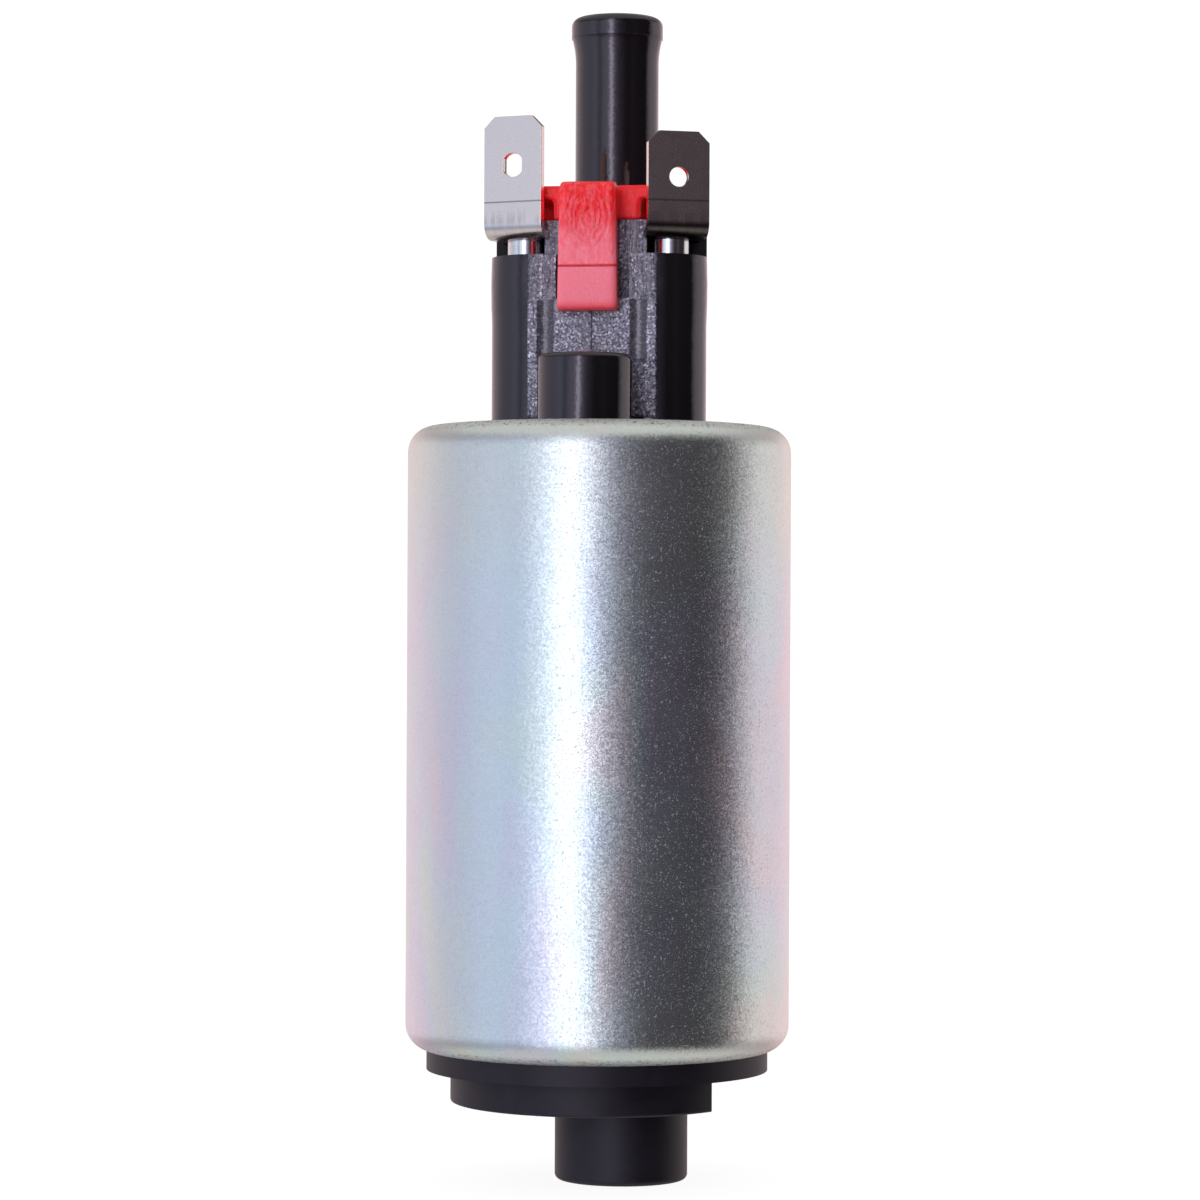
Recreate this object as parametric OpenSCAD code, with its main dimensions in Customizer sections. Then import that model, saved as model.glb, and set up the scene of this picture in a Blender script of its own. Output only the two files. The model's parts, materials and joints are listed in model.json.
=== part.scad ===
// Electric fuel pump with a rolled steel can, a rotor pumping set and a two-magnet motor.
// Millimetres. Z runs along the can axis and Z = 0 is the lower end of the inlet stub.
// X runs across the two terminals, and -Y is the side of the red terminal clip.
// The can is cut to the length of what is stacked in it, so its length is a derived value.

/* [Can] */
// Outside diameter of the steel can
can_d = 39; // [38:0.5:42]
// Sheet thickness of the can
can_wall = 1.2; // [0.9:0.1:1.4]
// Outside radius of the two rolled corners
can_roll_r = 2.6; // [2.4:0.1:3]
// How far each rolled lip reaches in from the outside of the can
can_lip = 2.05; // [1.8:0.05:2.3]
// How far the lower face of the can stands proud of the outlet cap's top plate
can_proud = 0.5; // [0.2:0.1:0.9]

/* [Inlet end] */
// Outside diameter of the inlet stub
stub_d = 13.5; // [12:0.5:15]
// Bore of the inlet stub
stub_bore_d = 9.5; // [8:0.5:10.5]
// Length of the inlet stub below the lower disc
stub_len = 7.9; // [6:0.1:14]
// Distance from the can axis to the stub axis
stub_offset = 2.5; // [0:0.1:4]
// How far the lower disc's edge stands in from the upper disc's edge
disc_step = 2.45; // [1.6:0.05:3.4]
// Thickness of the lower disc
lower_disc_t = 3.3; // [2.5:0.1:5]
// Depth of the flat on the lower disc
flat_depth = 3.45; // [1:0.05:3.6]
// Height of the upper disc that shows below the can
upper_disc_t = 2; // [1:0.1:4]
// Turn of the inlet end about the can axis, in degrees
inlet_turn = 8; // [0:1:45]
// Thickness of the inlet cover inside the can
cover_t = 4.5; // [4:0.1:7]
// Thickness of the floor under the suction chamber
cover_floor_t = 3.7; // [2.5:0.1:4.5]
// Thickness of the wall round the suction chamber
chamber_wall = 6.2; // [5.4:0.1:7]
// Rounding of the stub's lower edge
stub_round_r = 0.6; // [0.2:0.1:0.9]
// Rounding of the lower disc's lower edge
disc_round_r = 0.3; // [0.2:0.1:0.6]

/* [Pumping set] */
// Thickness of the inlet plate
inlet_plate_t = 3.4; // [3:0.1:5]
// Thickness of the rotors and of the ring round them
rotor_t = 5; // [4:0.1:8]
// Thickness of the outlet plate
outlet_plate_t = 3.5; // [3:0.1:5]
// Number of teeth on the inner rotor
inner_teeth = 6; // [5:1:7]
// Distance between the two rotor axes
eccentricity = 1.05; // [0.8:0.05:1.1]
// Distance from the outer rotor's rim in to the centres of its tooth arcs
rotor_rim = 2; // [1.8:0.05:2.4]
// Radius of each tooth arc of the outer rotor, as a share of the radius of the arcs' centres
tooth_arc_share = 0.3; // [0.275:0.005:0.315]
// Least wall of the ring round the outer rotor
ring_wall = 3.17; // [2.9:0.01:3.5]
// Angle that each kidney port covers, in degrees
port_angle = 120; // [90:1:130]
// Diameter of the two dowel pins
dowel_d = 2; // [1.5:0.1:2.2]
// Depth of the bearing boss below the inlet plate
boss_depth = 2.6; // [2:0.1:3]
// Thickness of the boss floor under the thrust pad
boss_floor_t = 1; // [0.8:0.1:1.2]
// How far each kidney port stays inside the rotors' chambers
port_inset = 0.3; // [0.2:0.1:0.5]
// Depth of each dowel pin's lower end in the inlet plate
dowel_depth = 2.8; // [2:0.1:3]
// How far each dowel pin's upper end lies below the outlet plate's top
dowel_drop = 0.2; // [0.1:0.1:0.5]

/* [Motor] */
// Diameter of the armature shaft
shaft_d = 4; // [3.5:0.1:4.4]
// Length of the slotted core
core_len = 22; // [16:0.5:30]
// Number of core slots and commutator bars
slots = 8; // [6:1:10]
// Width of each core tooth
tooth_w = 2.6; // [2.2:0.1:3]
// Depth of the core slots
slot_depth = 5.7; // [5.2:0.1:5.9]
// Radius of the armature core, as a share of the can's radius
core_share = 0.579; // [0.56:0.001:0.59]
// Gap between the core and the magnets
air_gap = 0.55; // [0.4:0.05:0.8]
// Length of the magnets
magnet_len = 29; // [24:0.5:30]
// Angle that each magnet covers, in degrees
magnet_arc = 140; // [120:1:146]
// Wall of the flux ring
flux_t = 1.9; // [1.5:0.1:2.4]
// Sheet thickness of the magnet clips
clip_sheet_t = 0.6; // [0.4:0.1:0.8]
// Height of the winding at each end of the core
end_turn_h = 4.5; // [3.6:0.1:6]
// Thickness of the insulator on each end of the core
insulator_t = 0.8; // [0.5:0.1:1.2]
// Free space between the outlet plate and the armature
end_space = 0.7; // [0.5:0.1:1.5]

/* [Bearings and coupling] */
// Outside diameter of the lower bearing bush
lower_bush_d = 7; // [6.4:0.1:7.2]
// Thickness of the thrust pad under the shaft
thrust_pad_t = 0.9; // [0.6:0.1:1.2]
// Distance between the upper bearing bush and the brushes
bush_gap = 1; // [0.9:0.1:1.6]
// Length of the upper bearing bush
upper_bush_len = 4.4; // [3.5:0.1:6]
// Thickness of the thrust washer on the commutator
washer_t = 0.5; // [0.3:0.1:0.6]
// Height of the commutator's hub above its bars
hub_rise = 1.6; // [1.4:0.1:2.4]
// Free play of the armature between its two bearings
end_play = 0.5; // [0.3:0.1:0.8]
// Radius of the coupling, as a share of the radius of the inner rotor's valleys
coupling_share = 0.585; // [0.56:0.005:0.61]
// Depth of the coupling's keys
key_depth = 1.1; // [0.9:0.1:1.2]
// Width of each coupling key
key_w = 2.2; // [1.6:0.1:2.6]

/* [Brush gear] */
// Thickness of the commutator base
comm_base_t = 3; // [2.5:0.1:4]
// Thickness of the commutator bars
bar_t = 1.5; // [1:0.1:2]
// How far the commutator bars' edge stands in from the core's edge
comm_step = 0.59; // [0.5:0.01:1]
// Width of the gaps between the commutator bars
bar_gap = 0.5; // [0.4:0.1:0.7]
// Width of the bars' track outside each brush, as a share of the commutator's radius
track_share = 0.159; // [0.15:0.001:0.175]
// Side of the square brushes, as a share of the commutator's radius
brush_share = 0.374; // [0.35:0.001:0.376]
// Length of a new brush
brush_len = 11; // [8:0.5:13]
// Wire diameter of the brush springs
brush_wire_d = 0.45; // [0.3:0.05:0.5]
// Outside diameter of the brush springs
brush_spring_d = 3.4; // [3:0.1:3.5]
// Number of coils in each brush spring
brush_coils = 9; // [6:1:10]
// Height of the pilot that centres the spring on each brush
pilot_h = 0.7; // [0.5:0.1:1]
// Gap between the commutator's hub and the brush guides
hub_gap = 0.14; // [0.1:0.02:0.3]
// How far the thrust washer's edge stands in from the hub's edge
washer_step = 0.2; // [0.1:0.05:0.5]
// Height of the brush guides' lower ends above the commutator bars
guide_lift = 1.2; // [0.8:0.1:1.6]
// Diameter of the brush shunts
shunt_d = 0.8; // [0.5:0.1:0.9]

/* [Outlet cap] */
// Height of the cap's skirt inside the can
cap_skirt_h = 9.2; // [9.2:0.1:12]
// Radial thickness of the cap's skirt
cap_skirt_t = 3.6; // [3.2:0.1:3.9]
// Thickness of the cap's top plate
cap_plate_t = 3.4; // [3:0.1:4]
// How far the centre of each rounded tower end stands in from the brush's centre
tower_inset = 1.14; // [0.9:0.02:1.3]
// Radius of the rounded tower ends
tower_r = 5.1; // [5:0.05:5.4]
// How far the tower ends swell near their tops
tower_swell = 0.1; // [0.02:0.02:0.3]
// Depth below the tower tops at which the swell is widest
swell_drop = 2.8; // [1.5:0.1:4]
// Depth below the tower tops at which the swell starts
swell_foot_drop = 7; // [5:0.1:9]
// Place of the towers' centre line along Y
tower_y = -0.84; // [-1:0.02:-0.6]
// Height of the tower tops above the cap plate
tower_h = 17.7; // [16:0.1:24]
// Thickness of the tower roofs
tower_roof_t = 1.4; // [1:0.1:2]
// Height of the mast and the rear wall above the tower tops
mast_h = 3.6; // [3.2:0.1:4.5]
// Gap between the mast and the terminal posts
mast_gap = 0.2; // [0.1:0.05:0.4]
// How far the mast stands back from the towers' front face
mast_setback = 2.34; // [2:0.02:2.6]
// Half the width of the groove for the clip's tongue
groove_half_w = 3.7; // [3.5:0.1:4.2]
// Height of the groove's foot below the tower tops
groove_h = 4.5; // [3:0.1:6]
// Half the width of the raised pad below the groove
pad_half_w = 6.5; // [6:0.1:6.8]
// Height of the raised pad
pad_h = 6.4; // [4:0.1:8]
// How far the pad stands proud of the towers
pad_proud = 0.2; // [0.15:0.01:0.4]
// Distance from the centre plane to the middle of each flute in the pad
flute_x = 4.7; // [4.2:0.1:5]
// Width of each flute in the pad
flute_w = 1.9; // [1.2:0.1:2.4]
// Depth of each flute in the pad
flute_depth = 0.14; // [0.05:0.01:0.14]
// Thickness of the wall behind the terminals
rear_wall_t = 2.4; // [1.8:0.1:2.5]
// Thickness of the web between the towers and the outlet tube
web_t = 2.4; // [1.6:0.1:3.2]
// Depth of the web's top below the tower tops
web_drop = 4; // [3:0.1:6]
// Thickness of the roof over the upper bearing bush
upper_bush_roof = 1.9; // [1.5:0.1:2.5]

/* [Outlet tube] */
// Distance from the can's lip in to the axis of the outlet tube
outlet_inset = 5.41; // [5.3:0.01:5.8]
// Outside diameter of the outlet tube
outlet_d = 8.7; // [8.2:0.1:9.2]
// Bore of the outlet tube
outlet_bore_d = 5.5; // [5:0.1:5.8]
// Diameter of the hose bead
bead_d = 9.57; // [9.3:0.01:10.2]
// Length of the straight land on the hose bead
bead_land = 1.3; // [1:0.1:2]
// Radius of the rounded end of the hose bead
bead_round_r = 0.9; // [0.6:0.1:1.1]
// Length of the hollow curve from the bead down to the stem
bead_blend = 2.7; // [1.5:0.1:4]
// Width of the small step under the hose bead
bead_step = 0.08; // [0.04:0.01:0.12]
// Height of the tube's end above the cap plate
outlet_h = 44.1; // [38:0.1:60]
// Diameter of the collar at the foot of the tube
collar_d = 10.3; // [9.8:0.1:10.3]
// Height of the collar at the foot of the tube
collar_h = 3; // [2:0.1:6]

/* [Check valve] */
// Diameter of the port under the check valve
check_port_d = 3.4; // [2.8:0.1:3.6]
// Height of the check valve's seat above the cap plate
check_seat_h = 3.6; // [3:0.1:6]
// Diameter of the poppet's head
poppet_d = 4.7; // [4.5:0.1:4.8]
// Diameter of the poppet's stem
poppet_stem_d = 1.6; // [1.2:0.1:1.8]
// Length of the poppet's stem
poppet_stem_len = 13; // [11:0.5:16]
// Wire diameter of the check valve spring
check_wire_d = 0.35; // [0.3:0.05:0.4]
// Outside diameter of the check valve spring
check_spring_d = 3.4; // [3.2:0.1:3.8]
// Number of coils in the check valve spring
check_coils = 7; // [5:1:9]
// Distance from the poppet's head to the guide
guide_gap = 8.4; // [7.5:0.1:10]
// Thickness of the stem guide
guide_t = 2; // [1.5:0.1:3]

/* [Relief valve] */
// Distance from the can's lip in to the axis of the relief valve tower
relief_inset = 6.85; // [6.5:0.05:7.1]
// Outside diameter of the relief valve tower
relief_d = 9.5; // [9:0.1:9.8]
// Height of the relief valve tower above the cap plate
relief_h = 7.2; // [6.8:0.1:12]
// Rounding of the relief valve tower's top edge
relief_round_r = 0.6; // [0.4:0.1:1]
// Diameter of the relief port
relief_port_d = 2.4; // [2:0.1:2.8]
// Bore of the relief valve chamber
relief_bore_d = 5; // [4.8:0.1:5.4]
// Diameter of the relief valve ball
ball_d = 4; // [3.5:0.1:4.2]
// Wire diameter of the relief valve spring
relief_wire_d = 0.4; // [0.3:0.05:0.45]
// Outside diameter of the relief valve spring
relief_spring_d = 3.6; // [3.2:0.1:4]
// Number of coils in the relief valve spring
relief_coils = 3; // [2:1:3]
// Height of the relief valve's seat above the cap's ceiling
relief_seat_h = 1.8; // [1.5:0.1:2.2]
// Depth of the relief valve plug below the tower's top
plug_drop = 0.3; // [0.1:0.1:0.6]
// Thickness of the relief valve plug
plug_t = 1.6; // [1.2:0.1:2]
// Diameter of the hole in the relief valve plug
plug_hole_d = 1.8; // [1:0.1:2.2]

/* [Terminals] */
// How far each terminal post stands out from the brush's centre
post_offset = 0.35; // [0.2:0.05:0.5]
// Place of the terminal posts along Y
post_y = -1.5; // [-1.6:0.05:-1.3]
// Diameter of the terminal posts
post_d = 3.9; // [3.4:0.1:4]
// Height of the posts above the tower tops
post_h = 1.7; // [1.4:0.1:2.4]
// Width of the terminal blades
blade_w = 6.35; // [6.2:0.05:6.4]
// Thickness of the terminal sheet
blade_t = 0.8; // [0.6:0.1:0.9]
// Outside radius of the bend at the foot of each blade
bend_r = 1.6; // [1.2:0.1:1.7]
// Radius of the shank that is riveted over on each post
rivet_r = 1; // [0.8:0.1:1.1]
// Height of each riveted head above its tab
head_h = 0.5; // [0.3:0.1:0.7]
// Chamfer on the tips of the blades
blade_cut = 1.15; // [0.8:0.05:1.5]
// How far each blade's tab runs on behind its post
tab_back = 0.15; // [0:0.05:0.3]
// Height of the left blade
left_blade_h = 12.35; // [10:0.05:16]
// Turn of the left blade about its post, in degrees
left_blade_turn = 15.5; // [12:0.5:20]
// Distance from the left post to the front of its blade
left_reach = 3.58; // [3.5:0.02:3.8]
// Distance from the left blade's tip to its hole
left_hole_drop = 4.95; // [4:0.05:5.5]
// Height of the hole in the left blade
left_hole_h = 2.4; // [1.8:0.1:2.8]
// Width of the hole in the left blade
left_hole_w = 2; // [1.2:0.1:2.2]
// Height of the right blade
right_blade_h = 10.65; // [9:0.05:16]
// Turn of the right blade about its post, in degrees
right_blade_turn = 22; // [16:0.5:24]
// Distance from the right post to the front of its blade
right_reach = 3.28; // [3.2:0.02:3.5]
// Distance from the right blade's tip to its hole
right_hole_drop = 4.6; // [4:0.05:5.5]
// Diameter of the hole in the right blade
right_hole_d = 2; // [1.6:0.1:2.4]

/* [Terminal clip] */
// Height of the clip's bar
bar_h = 3.5; // [3:0.1:4.5]
// Thickness of the clip's top plate
clip_top_t = 1.4; // [1:0.1:1.6]
// Half the width of the clip's bar
bar_half_w = 9.8; // [9:0.1:10.2]
// Half the width of the block behind the tongue
block_half_w = 4.44; // [4:0.02:4.6]
// Sideways shift of the block from the centre plane
block_shift = 0.16; // [-0.2:0.02:0.3]
// Half the width of the top plate's front edge
neck_half_w = 6.5; // [5:0.1:6.8]
// How far the block stands in front of the mast
block_proud = 0.4; // [0.2:0.1:0.6]
// Width of the tongue at its foot
tongue_w = 6.15; // [5.4:0.05:6.6]
// Width of the tongue at its top
tongue_top_w = 5.6; // [5:0.05:6.4]
// Thickness of the tongue
tongue_t = 2.1; // [1.7:0.1:2.5]
// Sideways shift of the tongue from the centre plane
tongue_shift = -0.26; // [-0.4:0.02:0.4]
// Height of the tongue's foot below the tower tops
tongue_drop = 5.9; // [5:0.1:8]
// Rounding of the tongue's lower edge
tongue_round_r = 0.5; // [0.3:0.1:0.7]
// Rounding of the tongue's upper edge
tongue_top_r = 1.1; // [0.8:0.1:1.4]
// Rounding of the tongue's two side edges
tongue_side_r = 0.4; // [0.2:0.1:0.5]
// Depth of the bar from its front edge to the back of the towers
bar_depth = 6.06; // [5:0.02:6.4]
// Half the width of the clip's rear leg
rear_leg_half_w = 4.95; // [3:0.05:6]
// Thickness of the clip's rear leg
rear_leg_t = 1.3; // [1:0.1:1.6]
// Length of the clip's rear leg below the bar
rear_leg_h = 4; // [3:0.1:6]

/* [Fits] */
// Gap round each piece that is stacked in the can
stack_gap = 0.08; // [0.05:0.01:0.12]
// Gap round each piece that is pressed into another
press_gap = 0.02; // [0.01:0.01:0.03]
// Gap round each turning piece
running_gap = 0.04; // [0.02:0.01:0.06]
// Gap round each sliding piece
glide_gap = 0.06; // [0.04:0.01:0.1]
// Gap between faces that rest on each other and move
face_gap = 0.03; // [0.02:0.01:0.05]
// Side gap between the rotor teeth
tooth_gap = 0.05; // [0.03:0.01:0.08]
// Gap between a fixed part and one laid over it
lay_gap = 0.1; // [0.06:0.01:0.15]

/* [Hidden] */
$fn = 96;

// Radii in the can
can_r = can_d / 2;
can_in_r = can_r - can_wall;
lip_r = can_r - can_lip;
roll_in_r = can_roll_r - can_wall;
stack_r = can_in_r - stack_gap;
disc_r = lip_r - lay_gap;
flux_in_r = stack_r - flux_t;
magnet_out_r = flux_in_r - stack_gap;
core_r = core_share * can_r;
magnet_in_r = core_r + air_gap;
magnet_t = magnet_out_r - magnet_in_r;
cavity_r = stack_r - cap_skirt_t;
chamber_r = stack_r - chamber_wall;
lower_disc_r = disc_r - disc_step;
slot_floor_r = core_r - slot_depth;
comm_r = core_r - comm_step;
outlet_y = lip_r - outlet_inset;
relief_y = lip_r - relief_inset;

// Heights of the stack, from the inlet stub up to the outlet cap
upper_disc_z = stub_len + lower_disc_t;
can_z0 = upper_disc_z + upper_disc_t;
cover_z = can_z0 + can_wall;
plate_z = cover_z + cover_t;
rotor_z = plate_z + inlet_plate_t;
outlet_plate_z = rotor_z + rotor_t;
motor_z = outlet_plate_z + outlet_plate_t;
core_z0 = motor_z + end_space + end_turn_h;
core_z1 = core_z0 + core_len;
comm_z = core_z1 + end_turn_h;
bar_z = comm_z + comm_base_t;
comm_face_z = bar_z + bar_t;
upper_bush_z = comm_face_z + hub_rise + washer_t + end_play;
cap_z = upper_bush_z + upper_bush_len + upper_bush_roof;
cap_ceiling_z = cap_z - cap_plate_t;
can_z1 = cap_z + can_proud;
skirt_z = can_z1 - can_wall - cap_skirt_h;
guide_foot_z = comm_face_z + guide_lift;

// Heights on the outlet cap
tower_top_z = cap_z + tower_h;
channel_top_z = tower_top_z - tower_roof_t;
mast_top_z = tower_top_z + mast_h;
outlet_top_z = cap_z + outlet_h;
check_seat_z = cap_z + check_seat_h;
relief_top_z = cap_z + relief_h;
relief_seat_z = cap_ceiling_z + relief_seat_h;
tab_z = tower_top_z + post_h;
tab_lip = 0.3;
tower_front_y = tower_y - tower_r;
tower_back_y = tower_y + tower_r;
mast_front_y = tower_front_y + mast_setback;
rear_wall_y = tower_back_y - rear_wall_t;
groove_z = tower_top_z - groove_h;

// Bearings and coupling
boss_z = plate_z - boss_depth;
thrust_pad_z = boss_z + boss_floor_t;
lower_bush_z = thrust_pad_z + thrust_pad_t;
shaft_z0 = lower_bush_z + face_gap;
shaft_z1 = upper_bush_z + upper_bush_len - lay_gap;
boss_wall = 1.4;

// Rotor set
outer_teeth = inner_teeth + 1;
outer_rotor_r = stack_r - eccentricity - ring_wall;
arc_centre_r = outer_rotor_r - rotor_rim;
dowel_r = (outer_rotor_r - eccentricity / 2 + stack_r) / 2;
tooth_arc_r = tooth_arc_share * arc_centre_r;
inner_tip_r = arc_centre_r + eccentricity - tooth_arc_r;
inner_valley_r = inner_tip_r - 2 * eccentricity;
outer_root_r = inner_tip_r + eccentricity;
port_in_r = inner_valley_r + port_inset;
port_out_r = outer_root_r - port_inset;
coupling_r = coupling_share * inner_valley_r;
key_root_r = coupling_r - key_depth;
dowel_z0 = rotor_z - dowel_depth;
dowel_z1 = motor_z - dowel_drop;
rotor_steps = 28 * inner_teeth;
valley_share = 0.75;

// Brush gear
brush_w = brush_share * comm_r;
brush_x = comm_r - brush_w / 2 - track_share * comm_r;
tower_x = brush_x - tower_inset;
post_x = brush_x + post_offset;
mast_half_w = post_x - post_d / 2 - mast_gap;
channel_half = brush_w / 2 + glide_gap;
anchor_t = 0.8;
anchor_z = channel_top_z - anchor_t;
brush_z0 = comm_face_z + face_gap;
brush_z1 = brush_z0 + brush_len;
upper_bush_r = brush_x - brush_w / 2 - bush_gap;
channel_wall = 1.2;
hub_r = brush_x - channel_half - channel_wall - hub_gap;
washer_r = hub_r - washer_step;
hook_t = 1.1;

// Check valve
poppet_head_t = 1.2;
face_t = 0.8;
poppet_z = check_seat_z + face_gap + face_t;
poppet_top_z = poppet_z + poppet_head_t;
guide_z = poppet_top_z + guide_gap;
poppet_pilot_r = check_spring_d / 2 - check_wire_d - 0.15;

// Relief valve
ball_r = ball_d / 2;
ball_reach = ball_r + face_gap;
relief_port_r = relief_port_d / 2;
ball_z = relief_seat_z + sqrt(ball_reach * ball_reach - relief_port_r * relief_port_r);
plug_z = relief_top_z - plug_t - plug_drop;
relief_coil_r = relief_spring_d / 2 - relief_wire_d / 2;
ball_contact = ball_reach + relief_wire_d / 2;
relief_spring_z = ball_z + sqrt(ball_contact * ball_contact - relief_coil_r * relief_coil_r);

// Seals
seal_d = 1.76;
groove_w = 2.2;
groove_r = can_in_r - seal_d - 0.1;
inlet_groove_z = cover_z + 1.7;
outlet_groove_z = can_z1 - can_wall - 5.4;

// Winding of the magnets' and clips' places
magnet_z = (core_z0 + core_z1 - magnet_len) / 2;
magnet_gap_half = 90 - magnet_arc / 2;

// Points of a round wire that climbs at a steady rate from z0 to z1
function coil_centre(i, per_turn, coil_r, z0, z1, turns) =
    let (a = 360 * i / per_turn)
    [coil_r * cos(a), coil_r * sin(a), z0 + (z1 - z0) * i / (turns * per_turn)];

// Least free distance between two turns of the wire, measured on its centre points
function coil_gap(centres, per_turn, wire_d) = min([
    for (i = [0 : len(centres) - 1])
        for (j = [i + per_turn - 2 : 1 : len(centres) - 1])
            if (j > i) norm(centres[j] - centres[i]) - wire_d
]);

module coil(name, coil_r, wire_d, z0, z1, turns) {
    per_turn = 8;
    sides = 6;
    last = turns * per_turn;
    low = z0 + wire_d / 2;
    high = z1 - wire_d / 2;
    centres = [for (i = [0 : last]) coil_centre(i, per_turn, coil_r, low, high, turns)];
    echo(name, least_gap = coil_gap(centres, per_turn, wire_d));
    points = [
        for (i = [0 : last])
            for (k = [0 : sides - 1])
                let (a = 360 * i / per_turn, b = 360 * k / sides, out = wire_d / 2 * cos(b))
                centres[i] + [out * cos(a), out * sin(a), wire_d / 2 * sin(b)]
    ];
    walls = [
        for (i = [0 : last - 1])
            for (k = [0 : sides - 1])
                let (
                    p = i * sides + k,
                    q = i * sides + (k + 1) % sides,
                    r = p + sides,
                    s = q + sides
                )
                each [[p, r, q], [q, r, s]]
    ];
    start = [for (k = [1 : sides - 2]) [0, k, k + 1]];
    top = last * sides;
    end = [for (k = [1 : sides - 2]) [top, top + k + 1, top + k]];
    polyhedron(points, concat(walls, start, end));
}

// A tube between two heights
module tube(outer_r, inner_r, z0, z1) {
    rotate_extrude()
        translate([inner_r, z0])
            square([outer_r - inner_r, z1 - z0]);
}

// A solid disc between two heights
module disc(r, z0, z1) {
    translate([0, 0, z0]) cylinder(r = r, h = z1 - z0);
}

// A solid disc with its lower edge rounded
module rounded_disc(r, z0, z1, round_r) {
    rotate_extrude()
        difference() {
            translate([0, z0]) square([r, z1 - z0]);
            difference() {
                translate([r - round_r, z0 - 1]) square([round_r + 1, round_r + 1]);
                translate([r - round_r, z0 + round_r]) circle(r = round_r);
            }
        }
}

// A quarter of the can's outline, with its rolled corner rounded to radius r
module rolled_outline(radius, r, z0, z1) {
    translate([0, z0 + r]) square([radius, z1 - z0 - 2 * r]);
    translate([0, z0]) square([radius - r, z1 - z0]);
    for (z = [z0 + r, z1 - r])
        translate([radius - r, z]) circle(r = r);
}

module steel_can() {
    color("silver")
        rotate_extrude()
            difference() {
                rolled_outline(can_r, can_roll_r, can_z0, can_z1);
                rolled_outline(can_in_r, roll_in_r, can_z0 + can_wall, can_z1 - can_wall);
                translate([0, can_z0 - 1]) square([lip_r, can_z1 - can_z0 + 2]);
            }
}

// Outline of a plug that fills the can's rolled corner at one end
module corner_plug(z0, z1, corner_z, up) {
    r = roll_in_r - lay_gap / 2;
    reach = can_in_r - roll_in_r;
    side = up ? 1 : -1;
    difference() {
        translate([0, z0]) square([stack_r, z1 - z0]);
        difference() {
            translate([reach, up ? corner_z : corner_z - 2 * roll_in_r])
                square([2 * roll_in_r, 2 * roll_in_r]);
            translate([reach, corner_z]) circle(r = r);
        }
    }
}

module inlet_cover() {
    color("#1c1c1f") {
        difference() {
            union() {
                rotate_extrude()
                    corner_plug(cover_z, plate_z, can_z0 + can_roll_r, false);
                disc(disc_r, upper_disc_z, cover_z + lay_gap);
                rotate([0, 0, inlet_turn]) {
                    lower_disc();
                    translate([stub_offset, 0, 0])
                        rounded_disc(stub_d / 2, 0, upper_disc_z, stub_round_r);
                }
            }
            disc(chamber_r, upper_disc_z + cover_floor_t, plate_z + 1);
            rotate([0, 0, inlet_turn])
                translate([stub_offset, 0, 0])
                    disc(stub_bore_d / 2, -1, plate_z);
            tube(can_r, groove_r, inlet_groove_z, inlet_groove_z + groove_w);
        }
    }
}

module lower_disc() {
    r = lower_disc_r;
    difference() {
        rounded_disc(r, stub_len, upper_disc_z + lay_gap, disc_round_r);
        translate([r - flat_depth, -r, stub_len - 1])
            cube([r, 2 * r, lower_disc_t + 2]);
    }
}

// A kidney port on one side of the rotors
module port(side, z0, z1) {
    mid = side > 0 ? 90 : 270;
    translate([eccentricity / 2, 0, z0])
        rotate([0, 0, mid - port_angle / 2])
            rotate_extrude(angle = port_angle)
                translate([port_in_r, 0])
                    square([port_out_r - port_in_r, z1 - z0]);
}

module dowel_places() {
    for (a = [120, 240])
        rotate([0, 0, a])
            translate([dowel_r, 0, 0])
                children();
}

module dowel_holes() {
    dowel_places() disc(dowel_d / 2 + press_gap, dowel_z0, motor_z + 1);
}

module inlet_plate() {
    color("#b9bcc0")
        difference() {
            union() {
                disc(stack_r, plate_z, rotor_z);
                disc(lower_bush_d / 2 + boss_wall, boss_z, plate_z + 1);
            }
            disc(lower_bush_d / 2 + press_gap, thrust_pad_z, rotor_z + 1);
            port(1, plate_z - 1, rotor_z + 1);
            dowel_holes();
        }
}

module rotor_ring() {
    color("#8f9296")
        difference() {
            disc(stack_r, rotor_z, outlet_plate_z);
            translate([eccentricity, 0, 0])
                disc(outer_rotor_r + running_gap, rotor_z - 1, outlet_plate_z + 1);
            dowel_holes();
        }
}

module outlet_plate() {
    color("#b9bcc0")
        difference() {
            disc(stack_r, outlet_plate_z, motor_z);
            disc(coupling_r + 3 * lay_gap, outlet_plate_z - 1, motor_z + 1);
            port(-1, outlet_plate_z - 1, motor_z + 1);
            dowel_holes();
        }
}

module dowel_pins() {
    color("#d0d2d5")
        dowel_places() disc(dowel_d / 2, dowel_z0, dowel_z1);
}

// Path of a tooth arc's centre, seen from the inner rotor
function trochoid(u) =
    arc_centre_r * [cos(u), sin(u)] + eccentricity * [cos(outer_teeth * u), sin(outer_teeth * u)];

// Outward unit normal of that path
function trochoid_normal(u) =
    let (
        d = arc_centre_r * [-sin(u), cos(u)]
            + eccentricity * outer_teeth * [-sin(outer_teeth * u), cos(outer_teeth * u)]
    )
    [d[1], -d[0]] / norm(d);

// The inner rotor's outline lies one tooth arc inside the path, with its points
// drawn together in the valleys, where the outline turns fastest along the path
function inner_outline() = [
    for (i = [0 : rotor_steps - 1])
        let (
            t = 360 * i / rotor_steps,
            u = t + valley_share * 180 / PI / inner_teeth * sin(inner_teeth * t)
        )
        trochoid(u) - (tooth_arc_r + tooth_gap) * trochoid_normal(u)
];

module inner_rotor() {
    color("#77797d")
        translate([0, 0, rotor_z + face_gap])
            linear_extrude(rotor_t - 2 * face_gap)
                difference() {
                    polygon(inner_outline());
                    coupling_keys(press_gap + face_gap);
                }
}

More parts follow.
